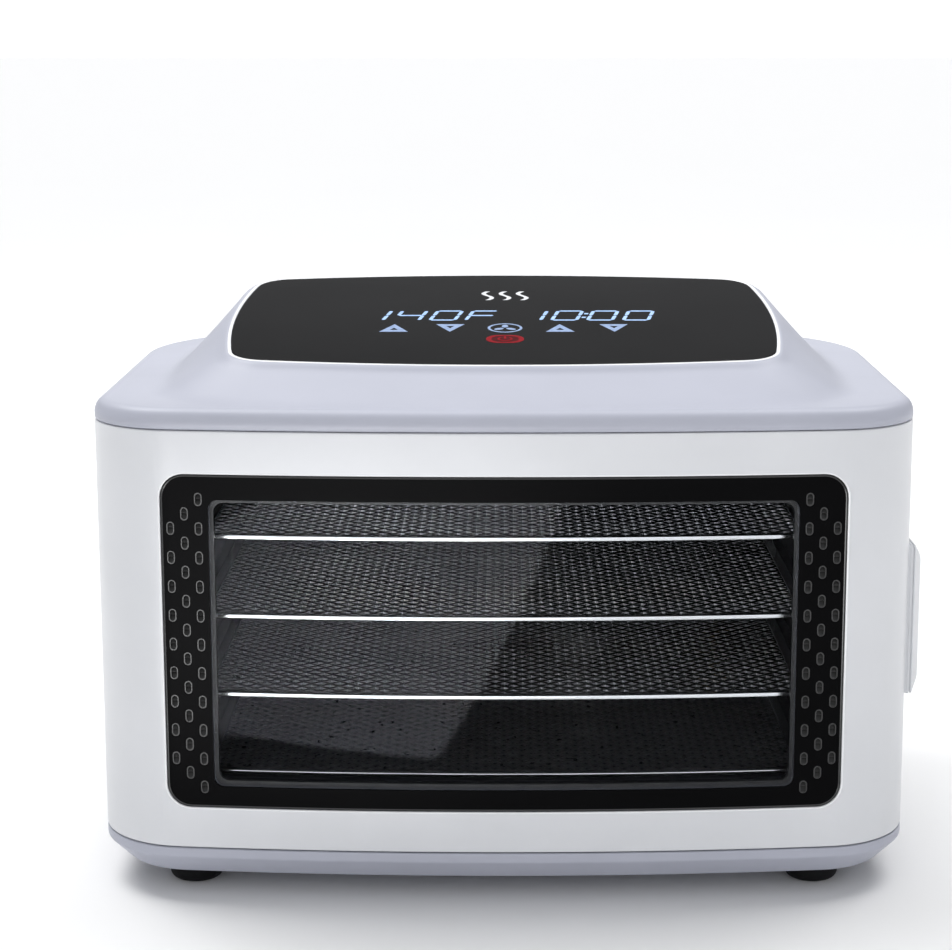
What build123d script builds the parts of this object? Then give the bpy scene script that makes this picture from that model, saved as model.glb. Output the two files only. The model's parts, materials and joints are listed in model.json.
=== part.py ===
from build123d import *
import os
from math import asin, atan2, cos, degrees, radians, sin, sqrt

# A countertop food dehydrator with four stainless trays behind a side-hinged front door.
# Millimetres. X is across, -Y is the front, Z is up from the surface that the feet stand on.

# Plan outline of the body: bowed front, straight sides, well rounded rear corners
WIDTH = 300.0
DEPTH = 233.0
BOW_R = 1093.0
FRONT_CORNER_R = 35.0
REAR_CORNER_R = 72.0
WALL = 2.6

FRONT_Y = -DEPTH / 2
REAR_Y = DEPTH / 2
SIDE_X = WIDTH / 2
BOW_CENTRE_Y = FRONT_Y + BOW_R

# Levels
FOOT_H = 9.0
BASE_BAND = 17.0
BASE_TOP = 20.5
BODY_TOP = 175.5
LID_SHOULDER = 182.8
BASE_TAPER = 8.0
DECK = 2.4

# Feet
FOOT_R = 10.35
FOOT_PLACES = {
    "front_left": (-116.0, -82.5),
    "front_right": (116.0, -82.5),
    "rear_left": (-105.0, 75.5),
    "rear_right": (105.0, 75.5),
}
FOOT_SCREW_R = 1.6
FOOT_SCREW_HEAD_R = 3.6
FOOT_POCKET_R = 4.2
FOOT_POCKET_H = 4.0

# Door: the whole front of the body as far back as the side seam
SEAM_Y = FRONT_Y + 45.5
SEAM_GAP = 0.3
DOOR_GAP = 0.4
DOOR_WALL = 3.0
DOOR_BOTTOM = BASE_TOP + DOOR_GAP
DOOR_TOP = BODY_TOP - DOOR_GAP
PLATE_REACH = 40.0

# Black vented frame and clear window in the door
FRAME_W = 244.6
FRAME_H = 123.0
FRAME_Z = 97.9
FRAME_R = 8.5
FRAME_SET_BACK = 0.5
FLANGE_W = 254.6
FLANGE_H = 133.0
WINDOW_W = 210.4
WINDOW_H = 106.2
WINDOW_Z = 97.2
WINDOW_R = 3.6
PANE_FRONT = 1.4
PANE_T = 2.4
GASKET_T = 1.2
GASKET_W = 1.5
LINER_FRONT = PANE_FRONT + PANE_T + GASKET_T
LINER_T = 2.5
LINER_W = 258.0
LINER_H = 147.0
LINER_Z = 98.0
FIT = 0.2

VENT_W = 2.9
VENT_H = 4.9
VENT_X = 108.7
VENT_COLUMN_STEP = 5.1
VENT_PITCH = 10.65
VENT_ROWS = 11
VENT_SLOT_H = 116.0
VENT_SLOT_W = 14.0

# Door screws
SCREW_R = 1.25
SCREW_HEAD_R = 2.8
SCREW_HEAD_T = 1.6
DOOR_SCREW_XS = (-100.0, 0.0, 100.0)
DOOR_SCREW_ZS = (27.6, 168.4)

# Hinge on the left edge, its axis upright in the seam and just inside the side
HINGE_X = -SIDE_X + 1.0
KNUCKLE_R = 2.0
HINGE_PIN_R = 0.8
HINGE_PIN_HEAD_R = 1.5
HINGE_CLEARANCE = 0.05
KNUCKLE_H = 8.4
KNUCKLE_GAP = 0.4
HINGE_H = 3 * KNUCKLE_H + 2 * KNUCKLE_GAP
HINGE_ZS = {"lower": 34.0, "upper": 136.0}
LEAF_T = 1.2
LEAF_W = 13.2
HINGE_NOTCH_R = 3.0
EDGE_RELIEF_R = 2.1
PAD_T = 6.0

# Side grip, which reaches back over the seam, magnet and strike
GRIP_H = 57.0
GRIP_Z = 98.5
GRIP_X = 155.2
GRIP_Y0 = FRONT_Y + 36.5
GRIP_Y1 = FRONT_Y + 58.5
GRIP_CHAMFER = 4.0
GRIP_CLEARANCE = 0.6
MAGNET_X = 138.0
MAGNET_W = 12.0
MAGNET_H = 20.0
MAGNET_GAP = 0.3

# Drying chamber
CHAMBER_W = 236.0
SHEET = 1.5
CHAMBER_FLOOR = 35.5
CHAMBER_ROOF = 160.5
CHAMBER_Y0 = FRONT_Y + 24.0
CHAMBER_Y1 = FRONT_Y + 170.5
BULKHEAD_Y = SEAM_Y + 1.6
BULKHEAD_T = 2.0

# Trays
TRAY_COUNT = 4
TRAY_Z = 44.9
TRAY_PITCH = 29.5
TRAY_W = 224.0
TRAY_T = 1.4
TRAY_FRONT = 14.0
TRAY_REAR_Y = FRONT_Y + 164.0
TRAY_RIM = 4.0
TRAY_R = 4.6
MESH_T = 0.8
RAIL_W = 9.5
RAIL_T = 2.0
RAIL_GAP = 0.2
RACK_T = 1.5

# Fan, heater and air path
FAN_Z = 98.0
FAN_R = 44.0
DUCT_R = 47.0
DUCT_W = 124.0
DUCT_H = 110.0
DUCT_Y0 = CHAMBER_Y1 + SHEET
DUCT_PLATE_Y = FRONT_Y + 190.0
DUCT_Y1 = FRONT_Y + 206.5
HUB_R = 11.0
BLADES = 7
SHAFT_R = 1.5
SHAFT_Y0 = FRONT_Y + 194.5
SHAFT_Y1 = FRONT_Y + 222.5
SPIDER_T = 2.0
MOTOR_R = 19.0
MOTOR_L = 18.0
MOTOR_Y = DUCT_Y1 + SPIDER_T
GRILLE_R = 45.0
GRILLE_FLANGE_R = 49.0
GRILLE_FLANGE_T = 2.0

# Mains inlet
INLET_X = 62.0
INLET_Z = 40.0
INLET_W = 20.0
INLET_H = 12.0
INLET_DEPTH = 16.0
INLET_PIN_R = 1.2
INLET_PIN_PITCH = 8.6

# Control panel on the tilted top of the lid
PANEL_FRONT_Y = FRONT_Y + 38.0
PANEL_REAR_Y = FRONT_Y + 174.0
PANEL_FRONT_Z = 194.3
PANEL_REAR_Z = 212.9
PANEL_HALF_W = 105.0
PANEL_SIDE_BOW = 5.5
PANEL_END_BOW = 8.0
PANEL_R = 14.0
PANEL_T = 2.2
PANEL_RIM = 1.3
PANEL_TILT = degrees(atan2(PANEL_REAR_Z - PANEL_FRONT_Z, PANEL_REAR_Y - PANEL_FRONT_Y))
PANEL_HALF_L = (PANEL_REAR_Y - PANEL_FRONT_Y) / 2 / cos(radians(PANEL_TILT))
KEY_PITCH = 21.2

os.makedirs("parts", exist_ok=True)


def write(piece, name):
    """Labels a finished piece and writes it as its own STEP file."""
    piece.part.label = name
    export_step(piece.part, f"parts/{name}.step")


def bow_y(x, depth):
    """Y of the bowed front at x, this far behind the front surface."""
    return BOW_CENTRE_Y - sqrt((BOW_R - depth) ** 2 - x**2)


def facing_front(y):
    """Upright plane at y that faces the front; a negative extrude goes to the rear."""
    return Plane.XZ.offset(-y)


def plan_outline(inset=0.0, mode=Mode.ADD):
    """Adds the body's plan outline, moved in by inset, to the sketch."""
    bow_r = BOW_R - inset
    front_r = FRONT_CORNER_R - inset
    rear_r = REAR_CORNER_R - inset
    side = SIDE_X - inset
    rear = REAR_Y - inset
    corner_x = SIDE_X - FRONT_CORNER_R
    corner_y = BOW_CENTRE_Y - sqrt((BOW_R - FRONT_CORNER_R) ** 2 - corner_x**2)
    lean = degrees(atan2(corner_x, BOW_CENTRE_Y - corner_y))
    with BuildLine() as outline:
        CenterArc((0, BOW_CENTRE_Y), bow_r, -90, lean)
        CenterArc((corner_x, corner_y), front_r, lean - 90, 90 - lean)
        Line((side, corner_y), (side, rear - rear_r))
        CenterArc((side - rear_r, rear - rear_r), rear_r, 0, 90)
        Line((side - rear_r, rear), (0, rear))
        mirror(about=Plane.YZ)
    make_face(outline.line, mode=mode)


def half_plane(y, behind):
    """Cuts away what lies behind (or in front of) y from the sketch of a plan."""
    reach = 2 * WIDTH
    with Locations((0, y + reach / 2 if behind else y - reach / 2)):
        Rectangle(reach, reach, mode=Mode.SUBTRACT)


def front_band(width, near, far):
    """Adds a strip in plan that follows the front, between two depths behind it."""
    plan_outline(near)
    plan_outline(far, mode=Mode.SUBTRACT)
    with Locations((0, FRONT_Y)):
        Rectangle(width, 2 * FRONT_CORNER_R, mode=Mode.INTERSECT)


def bowed_plate(width, height, centre_z, radius, near, far):
    """Starts a part as a round-cornered plate that follows the front, between two depths behind it."""
    with BuildSketch(facing_front(FRONT_Y - 1)) as outline:
        with Locations((0, centre_z)):
            RectangleRounded(width, height, radius)
    extrude(outline.sketch, amount=-PLATE_REACH)
    with BuildSketch(Plane.XY.offset(centre_z - height)) as plan:
        front_band(width + PLATE_REACH, near, far)
    extrude(plan.sketch, amount=2 * height, mode=Mode.INTERSECT)


def window_cut(inset):
    """Cuts an opening the size of the window, smaller all round by inset."""
    with BuildSketch(facing_front(FRONT_Y - 1)) as opening:
        with Locations((0, WINDOW_Z)):
            RectangleRounded(WINDOW_W - 2 * inset, WINDOW_H - 2 * inset, WINDOW_R)
    extrude(opening.sketch, amount=-PLATE_REACH, mode=Mode.SUBTRACT)


def bowed_oblong(half_x, half_y, side_bow, end_bow, corner_r):
    """Sketch of an oblong with bulging sides and rounded corners."""
    x = half_x - side_bow
    y = half_y - end_bow
    with BuildSketch(mode=Mode.PRIVATE) as oblong:
        with BuildLine():
            ThreePointArc((-x, -y), (0, -half_y), (x, -y))
            ThreePointArc((x, -y), (half_x, 0), (x, y))
            ThreePointArc((x, y), (0, half_y), (-x, y))
            ThreePointArc((-x, y), (-half_x, 0), (-x, -y))
        make_face()
        fillet(oblong.vertices(), corner_r)
    return oblong.sketch


def tray_plan(inset):
    """Sketch of a tray in plan, with a front edge that follows the bow."""
    half = TRAY_W / 2 - inset
    depth = TRAY_FRONT + inset
    lean = degrees(asin(half / (BOW_R - depth)))
    with BuildSketch(mode=Mode.PRIVATE) as plan:
        with BuildLine():
            CenterArc((0, BOW_CENTRE_Y), BOW_R - depth, -90, lean)
            Line((half, bow_y(half, depth)), (half, TRAY_REAR_Y - inset))
            Line((half, TRAY_REAR_Y - inset), (0, TRAY_REAR_Y - inset))
            mirror(about=Plane.YZ)
        make_face()
        fillet(plan.vertices().group_by(Axis.Y)[-1], TRAY_R - inset)
        fillet(plan.vertices().group_by(Axis.Y)[0], TRAY_R - inset)
    return plan.sketch


def panel_plane(height=0.0):
    """Plane of the control panel's top face, raised by height."""
    tilt = radians(PANEL_TILT)
    middle = (0, (PANEL_FRONT_Y + PANEL_REAR_Y) / 2, (PANEL_FRONT_Z + PANEL_REAR_Z) / 2)
    return Plane(origin=middle, x_dir=(1, 0, 0), z_dir=(0, -sin(tilt), cos(tilt))).offset(height)


# ---------------------------------------------------------------- base and feet

with BuildPart() as base_tray:
    with BuildSketch(Plane.XY.offset(FOOT_H)):
        plan_outline(BASE_TAPER)
    with BuildSketch(Plane.XY.offset(BASE_BAND)):
        plan_outline()
    loft(ruled=True)
    with BuildSketch(Plane.XY.offset(BASE_BAND)):
        plan_outline()
    extrude(amount=BASE_TOP - BASE_BAND)
    with BuildSketch(Plane.XY.offset(FOOT_H + DECK)):
        plan_outline(BASE_TAPER + WALL)
    with BuildSketch(Plane.XY.offset(BASE_BAND)):
        plan_outline(WALL)
    loft(ruled=True, mode=Mode.SUBTRACT)
    with BuildSketch(Plane.XY.offset(BASE_BAND)):
        plan_outline(WALL)
    extrude(amount=BASE_TOP - DECK - BASE_BAND, mode=Mode.SUBTRACT)
    with BuildSketch(Plane.XY.offset(BASE_TOP - DECK)):
        plan_outline(WALL)
        half_plane(BULKHEAD_Y + BULKHEAD_T, behind=False)
    extrude(amount=DECK, mode=Mode.SUBTRACT)
    # bosses over the feet and posts under the drying chamber
    with BuildSketch(Plane.XY.offset(FOOT_H + DECK)):
        with Locations(*FOOT_PLACES.values()):
            Circle(5)
    extrude(amount=BASE_TOP - DECK - FOOT_H - DECK)
    with BuildSketch(Plane.XY.offset(FOOT_H + DECK)):
        with GridLocations(190, 80, 2, 2):
            Circle(4)
    extrude(amount=CHAMBER_FLOOR - SHEET - FOOT_H - DECK)
    with BuildSketch(Plane.XY.offset(FOOT_H)):
        with Locations(*FOOT_PLACES.values()):
            Circle(FOOT_SCREW_R)
    extrude(amount=8, mode=Mode.SUBTRACT)
    # cooling slots in the floor
    with BuildSketch(Plane.XY.offset(FOOT_H)):
        with GridLocations(0, 9, 1, 7):
            SlotOverall(90, 3)
    extrude(amount=DECK, mode=Mode.SUBTRACT)
write(base_tray, "base_tray")

for place, (foot_x, foot_y) in FOOT_PLACES.items():
    with BuildPart() as foot:
        with BuildSketch():
            with Locations((foot_x, foot_y)):
                Circle(FOOT_R)
        extrude(amount=FOOT_H)
        chamfer(foot.edges().group_by(Axis.Z)[0], 1.2)
        with BuildSketch():
            with Locations((foot_x, foot_y)):
                Circle(FOOT_POCKET_R)
        extrude(amount=FOOT_POCKET_H, mode=Mode.SUBTRACT)
        with BuildSketch():
            with Locations((foot_x, foot_y)):
                Circle(FOOT_SCREW_R)
        extrude(amount=FOOT_H, mode=Mode.SUBTRACT)
    write(foot, f"foot_{place}")

with BuildPart() as foot_screws:
    with BuildSketch(Plane.XY.offset(FOOT_POCKET_H)):
        with Locations(*FOOT_PLACES.values()):
            Circle(FOOT_SCREW_HEAD_R)
    extrude(amount=-2)
    with BuildSketch(Plane.XY.offset(FOOT_POCKET_H)):
        with Locations(*FOOT_PLACES.values()):
            Circle(FOOT_SCREW_R)
    extrude(amount=FOOT_H + 7 - FOOT_POCKET_H)
write(foot_screws, "foot_screws")

# ---------------------------------------------------------------- fixed body

with BuildPart() as body_shell:
    with BuildSketch(Plane.XY.offset(BASE_TOP)):
        plan_outline()
        plan_outline(WALL, mode=Mode.SUBTRACT)
        half_plane(SEAM_Y + SEAM_GAP, behind=False)
        # the door's edge swings into this hollow
        with Locations((HINGE_X, SEAM_Y)):
            Circle(EDGE_RELIEF_R, mode=Mode.SUBTRACT)
    extrude(amount=BODY_TOP - BASE_TOP)
    for hinge_z in HINGE_ZS.values():
        with BuildSketch(Plane.XY.offset(hinge_z - 0.5)):
            with Locations((HINGE_X, SEAM_Y)):
                Circle(HINGE_NOTCH_R)
        extrude(amount=HINGE_H + 1.8, mode=Mode.SUBTRACT)
    with BuildSketch(facing_front(REAR_Y + 1)):
        with Locations((0, FAN_Z)):
            Circle(GRILLE_R)
        with Locations((INLET_X, INLET_Z)):
            RectangleRounded(INLET_W, INLET_H, 3)
    extrude(amount=WALL + 3, mode=Mode.SUBTRACT)
write(body_shell, "body_shell")

with BuildPart() as front_bulkhead:
    with BuildSketch(facing_front(BULKHEAD_Y)):
        with Locations((0, (BASE_TOP + BODY_TOP) / 2)):
            Rectangle(WIDTH - 2 * WALL, BODY_TOP - BASE_TOP)
        with Locations((0, (CHAMBER_FLOOR + CHAMBER_ROOF) / 2)):
            Rectangle(
                CHAMBER_W + 2 * SHEET,
                CHAMBER_ROOF - CHAMBER_FLOOR + 2 * SHEET,
                mode=Mode.SUBTRACT,
            )
    extrude(amount=-BULKHEAD_T)
write(front_bulkhead, "front_bulkhead")

# ---------------------------------------------------------------- drying chamber

with BuildPart() as chamber_liner:
    with BuildSketch(facing_front(CHAMBER_Y0)):
        with Locations((0, (CHAMBER_FLOOR + CHAMBER_ROOF) / 2)):
            Rectangle(CHAMBER_W + 2 * SHEET, CHAMBER_ROOF - CHAMBER_FLOOR + 2 * SHEET)
            Rectangle(CHAMBER_W, CHAMBER_ROOF - CHAMBER_FLOOR, mode=Mode.SUBTRACT)
    extrude(amount=CHAMBER_Y0 - CHAMBER_Y1)
write(chamber_liner, "chamber_liner")

RACK_Y0 = CHAMBER_Y0 + 8
RACK_Y1 = CHAMBER_Y1 - 2
for side_name, side in (("left", -1), ("right", 1)):
    with BuildPart() as tray_rack:
        with BuildSketch(facing_front(RACK_Y0)):
            with Locations((side * (CHAMBER_W - RACK_T) / 2, (CHAMBER_FLOOR + CHAMBER_ROOF) / 2)):
                Rectangle(RACK_T, CHAMBER_ROOF - CHAMBER_FLOOR - 8)
            for number in range(TRAY_COUNT):
                rail_z = TRAY_Z + number * TRAY_PITCH - RAIL_GAP - RAIL_T / 2
                with Locations((side * (CHAMBER_W / 2 - RACK_T - RAIL_W / 2), rail_z)):
                    Rectangle(RAIL_W, RAIL_T)
        extrude(amount=RACK_Y0 - RACK_Y1)
    write(tray_rack, f"tray_rack_{side_name}")

with BuildPart() as air_baffle:
    with BuildSketch(facing_front(CHAMBER_Y1)):
        with Locations((0, (CHAMBER_FLOOR + CHAMBER_ROOF) / 2)):
            Rectangle(CHAMBER_W + 2 * SHEET, CHAMBER_ROOF - CHAMBER_FLOOR + 2 * SHEET)
        with Locations((0, FAN_Z)):
            with GridLocations(14, 9.5, 8, 10):
                SlotOverall(11, 4.2, mode=Mode.SUBTRACT)
    extrude(amount=-SHEET)
write(air_baffle, "air_baffle")

# ---------------------------------------------------------------- trays

TRAY_PLAN = tray_plan(0)
TRAY_HOLE = tray_plan(TRAY_RIM)
for number in range(TRAY_COUNT):
    tray_z = TRAY_Z + number * TRAY_PITCH
    with BuildPart() as tray_rim:
        with BuildSketch(Plane.XY.offset(tray_z)):
            add(TRAY_PLAN)
            add(TRAY_HOLE, mode=Mode.SUBTRACT)
        extrude(amount=TRAY_T)
    write(tray_rim, f"tray_{number + 1}_rim")
    with BuildPart() as tray_mesh:
        with BuildSketch(Plane.XY.offset(tray_z + (TRAY_T - MESH_T) / 2)):
            add(TRAY_HOLE)
        extrude(amount=MESH_T)
    write(tray_mesh, f"tray_{number + 1}_mesh")

# ---------------------------------------------------------------- heater and fan

with BuildPart() as fan_duct:
    with BuildSketch(facing_front(DUCT_Y0)):
        with Locations((0, FAN_Z)):
            Rectangle(DUCT_W, DUCT_H)
            Rectangle(DUCT_W - 2 * SHEET, DUCT_H - 2 * SHEET, mode=Mode.SUBTRACT)
    extrude(amount=DUCT_Y0 - DUCT_PLATE_Y)
    with BuildSketch(facing_front(DUCT_PLATE_Y)):
        with Locations((0, FAN_Z)):
            Rectangle(DUCT_W, DUCT_H)
            Circle(DUCT_R, mode=Mode.SUBTRACT)
    extrude(amount=-SHEET)
    with BuildSketch(facing_front(DUCT_PLATE_Y)):
        with Locations((0, FAN_Z)):
            Circle(DUCT_R + SHEET)
            Circle(DUCT_R, mode=Mode.SUBTRACT)
    extrude(amount=DUCT_PLATE_Y - DUCT_Y1)
write(fan_duct, "fan_duct")

HEATER_Y = DUCT_Y0 + 4
HEATER_W = DUCT_W - 2 * SHEET
HEATER_R = 2.2
with BuildPart() as heater_board:
    with BuildSketch(facing_front(HEATER_Y)):
        with Locations((0, FAN_Z)):
            Rectangle(HEATER_W, 92)
            with GridLocations(38, 0, 3, 1):
                Rectangle(30, 80, mode=Mode.SUBTRACT)
    extrude(amount=-SHEET)
write(heater_board, "heater_board")

HEATER_RUN = 44.0
HEATER_PITCH = 16.0
HEATER_PASSES = 5
with BuildPart() as heater_element:
    with BuildLine(facing_front(HEATER_Y + SHEET + HEATER_R)):
        corners = []
        for row in range(HEATER_PASSES):
            row_z = FAN_Z + (row - (HEATER_PASSES - 1) / 2) * HEATER_PITCH
            turn = 1 if row % 2 == 0 else -1
            corners += [(-turn * HEATER_RUN, row_z), (turn * HEATER_RUN, row_z)]
        path = FilletPolyline(*corners, radius=HEATER_PITCH / 2 - 0.05)
    with BuildSketch(Plane(origin=path @ 0, z_dir=path % 0)):
        Circle(HEATER_R)
    sweep()
write(heater_element, "heater_element")

with BuildPart() as thermal_cutout:
    with BuildSketch(facing_front(HEATER_Y)):
        with Locations((0, FAN_Z + 43)):
            RectangleRounded(20, 5, 1.5)
    extrude(amount=3)
write(thermal_cutout, "thermal_cutout")

with BuildPart() as temperature_sensor:
    with BuildSketch(facing_front(CHAMBER_Y1)):
        with Locations((90, FAN_Z)):
            Circle(3)
    extrude(amount=3)
    with BuildSketch(facing_front(CHAMBER_Y1 - 3)):
        with Locations((90, FAN_Z)):
            Circle(1.6)
    extrude(amount=6)
    fillet(temperature_sensor.edges().group_by(Axis.Y)[0], 1.2)
write(temperature_sensor, "temperature_sensor")

with BuildPart() as fan_spider:
    with BuildSketch(facing_front(DUCT_Y1)):
        with Locations((0, FAN_Z)):
            Circle(DUCT_R + 4)
            Circle(DUCT_R - 1, mode=Mode.SUBTRACT)
            Circle(MOTOR_R)
            with PolarLocations((DUCT_R + MOTOR_R) / 2, 3, start_angle=90):
                Rectangle(DUCT_R - MOTOR_R + 4, 8)
            Circle(5, mode=Mode.SUBTRACT)
    extrude(amount=-SPIDER_T)
write(fan_spider, "fan_spider")

with BuildPart() as fan_motor:
    with BuildSketch(facing_front(MOTOR_Y)):
        with Locations((0, FAN_Z)):
            Circle(MOTOR_R)
    extrude(amount=-MOTOR_L)
    fillet(fan_motor.edges().group_by(Axis.Y)[-1], 2)
    with BuildSketch(facing_front(MOTOR_Y)):
        with Locations((0, FAN_Z)):
            Circle(SHAFT_R + HINGE_CLEARANCE)
    extrude(amount=MOTOR_Y - SHAFT_Y1 - 0.5, mode=Mode.SUBTRACT)
write(fan_motor, "fan_motor")

with BuildPart() as fan_shaft:
    with BuildSketch(facing_front(SHAFT_Y0)):
        with Locations((0, FAN_Z)):
            Circle(SHAFT_R)
    extrude(amount=SHAFT_Y0 - SHAFT_Y1)
write(fan_shaft, "fan_shaft")

IMPELLER_Y0 = SHAFT_Y0 - 1.5
IMPELLER_L = 11.0
BLADE_T = 1.4
BLADE_PITCH = 38.0
with BuildPart() as fan_impeller:
    with BuildSketch(facing_front(IMPELLER_Y0)):
        with Locations((0, FAN_Z)):
            Circle(HUB_R)
    extrude(amount=-IMPELLER_L)
    fillet(fan_impeller.edges().group_by(Axis.Y)[0], 2)
    for blade in range(BLADES):
        root = Plane(
            origin=(0, IMPELLER_Y0 + IMPELLER_L / 2, FAN_Z),
            x_dir=(0, 1, 0),
            z_dir=(sin(blade * radians(360 / BLADES)), 0, cos(blade * radians(360 / BLADES))),
        )
        with BuildSketch(root.offset(HUB_R - 3)):
            Rectangle(IMPELLER_L * 0.75, BLADE_T, rotation=BLADE_PITCH)
        extrude(amount=FAN_R - HUB_R + 3)
    with BuildSketch(facing_front(SHAFT_Y0)):
        with Locations((0, FAN_Z)):
            Circle(SHAFT_R)
    extrude(amount=-IMPELLER_L, mode=Mode.SUBTRACT)
write(fan_impeller, "fan_impeller")

with BuildPart() as rear_grille:
    with BuildSketch(facing_front(REAR_Y - WALL - GRILLE_FLANGE_T)):
        with Locations((0, FAN_Z)):
            Circle(GRILLE_FLANGE_R)
    extrude(amount=-GRILLE_FLANGE_T)
    with BuildSketch(facing_front(REAR_Y - WALL)):
        with Locations((0, FAN_Z)):
            Circle(GRILLE_R - FIT / 2)
    extrude(amount=-WALL + 0.4)
    with BuildSketch(facing_front(REAR_Y)):
        with Locations((0, FAN_Z)):
            for row in range(-5, 6):
                with Locations((0, row * 7.4)):
                    SlotOverall(2 * sqrt(42**2 - (row * 7.4) ** 2), 3.6)
    extrude(amount=10, mode=Mode.SUBTRACT)
    with BuildSketch(facing_front(REAR_Y - WALL - GRILLE_FLANGE_T)):
        with Locations((0, FAN_Z)):
            Rectangle(4, 86)
    extrude(amount=-GRILLE_FLANGE_T - 1)
write(rear_grille, "rear_grille")

# ---------------------------------------------------------------- mains and power board

with BuildPart() as power_inlet:
    with BuildSketch(facing_front(REAR_Y)):
        with Locations((INLET_X, INLET_Z)):
            RectangleRounded(INLET_W - FIT, INLET_H - FIT, 2.9)
    extrude(amount=INLET_DEPTH)
    with BuildSketch(facing_front(REAR_Y - WALL)):
        with Locations((INLET_X, INLET_Z)):
            RectangleRounded(INLET_W + 6, INLET_H + 5, 3)
    extrude(amount=2)
    with BuildSketch(facing_front(REAR_Y)):
        with Locations((INLET_X, INLET_Z)):
            SlotOverall(16.4, 8.6)
    extrude(amount=INLET_DEPTH - 3, mode=Mode.SUBTRACT)
    with BuildSketch(facing_front(REAR_Y)):
        with Locations((INLET_X, INLET_Z)):
            with GridLocations(INLET_PIN_PITCH, 0, 2, 1):
                Circle(INLET_PIN_R)
    extrude(amount=INLET_DEPTH, mode=Mode.SUBTRACT)
write(power_inlet, "power_inlet")

with BuildPart() as inlet_pins:
    with BuildSketch(facing_front(REAR_Y - 3)):
        with Locations((INLET_X, INLET_Z)):
            with GridLocations(INLET_PIN_PITCH, 0, 2, 1):
                Circle(INLET_PIN_R)
    extrude(amount=INLET_DEPTH + 3)
write(inlet_pins, "inlet_pins")

BOARD_X = 134.0
BOARD_T = 1.6
BOARD_Y = 0.0
BOARD_Z = 92.0
BOARD_W = 90.0
BOARD_H = 76.0
board_face = Plane(origin=(BOARD_X, BOARD_Y, BOARD_Z), x_dir=(0, 1, 0), z_dir=(1, 0, 0))
with BuildPart() as power_board:
    with BuildSketch(board_face):
        Rectangle(BOARD_W, BOARD_H)
        with GridLocations(BOARD_W - 10, BOARD_H - 10, 2, 2):
            Circle(SCREW_R, mode=Mode.SUBTRACT)
    extrude(amount=-BOARD_T)
write(power_board, "power_board")

with BuildPart() as board_standoffs:
    with BuildSketch(board_face):
        with GridLocations(BOARD_W - 10, BOARD_H - 10, 2, 2):
            Circle(3)
            Circle(SCREW_R, mode=Mode.SUBTRACT)
    extrude(amount=SIDE_X - WALL - BOARD_X)
write(board_standoffs, "board_standoffs")

with BuildPart() as board_screws:
    with BuildSketch(board_face.offset(-BOARD_T)):
        with GridLocations(BOARD_W - 10, BOARD_H - 10, 2, 2):
            Circle(SCREW_HEAD_R)
    extrude(amount=-SCREW_HEAD_T)
    with BuildSketch(board_face.offset(-BOARD_T)):
        with GridLocations(BOARD_W - 10, BOARD_H - 10, 2, 2):
            Circle(SCREW_R)
    extrude(amount=8)
write(board_screws, "board_screws")


def board_part(name, centre, size, height, radius):
    """A component that stands on the inner face of the power board."""
    with BuildPart() as component:
        with BuildSketch(board_face.offset(-BOARD_T)):
            with Locations(centre):
                RectangleRounded(*size, radius)
        extrude(amount=-height)
        chamfer(component.faces().sort_by(Axis.X)[0].edges(), 0.5)
    write(component, name)


board_part("power_relay", (-28, -14), (16, 20), 9.5, 1)
board_part("power_transformer", (4, -12), (24, 26), 10, 1)
board_part("control_triac", (28, 16), (10, 15), 5, 1)

with BuildPart() as filter_capacitors:
    with BuildSketch(board_face.offset(-BOARD_T)):
        with Locations((-26, 16), (-12, 16)):
            Circle(5)
    extrude(amount=-9)
    chamfer(filter_capacitors.faces().group_by(Axis.X)[0].edges(), 0.6)
write(filter_capacitors, "filter_capacitors")

# ---------------------------------------------------------------- lid and control panel

HUMP_FOOT = (134.0, 103.5, 6.0, 5.0, 48.0)
HUMP_WAIST = (117.0, 86.0, 6.0, 7.0, 26.0)
HUMP_TOP = (
    PANEL_HALF_W + PANEL_RIM,
    PANEL_HALF_L + PANEL_RIM,
    PANEL_SIDE_BOW,
    PANEL_END_BOW,
    PANEL_R + PANEL_RIM,
)
HUMP_FOOT_PLANE = Plane.XY.offset(LID_SHOULDER - 1).shift_origin((0, FRONT_Y + 111.5, LID_SHOULDER - 1))
HUMP_WAIST_PLANE = Plane(
    origin=(0, FRONT_Y + 110.0, 190.5), x_dir=(1, 0, 0), z_dir=(0, -sin(radians(3.5)), cos(radians(3.5)))
)


def hump(inset, drop, mode=Mode.ADD):
    """Lofts the raised middle of the lid, drawn in by inset and lowered by drop."""
    sections = []
    for plane, sizes in (
        (HUMP_FOOT_PLANE.offset(-drop), HUMP_FOOT),
        (HUMP_WAIST_PLANE.offset(-drop), HUMP_WAIST),
        (panel_plane(-2 * drop), HUMP_TOP),
    ):
        half_x, half_y, side_bow, end_bow, corner_r = sizes
        with BuildSketch(plane) as section:
            add(bowed_oblong(half_x - inset, half_y - inset, side_bow, end_bow, corner_r - inset))
        sections.append(section.sketch)
    loft(sections, mode=mode)


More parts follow.
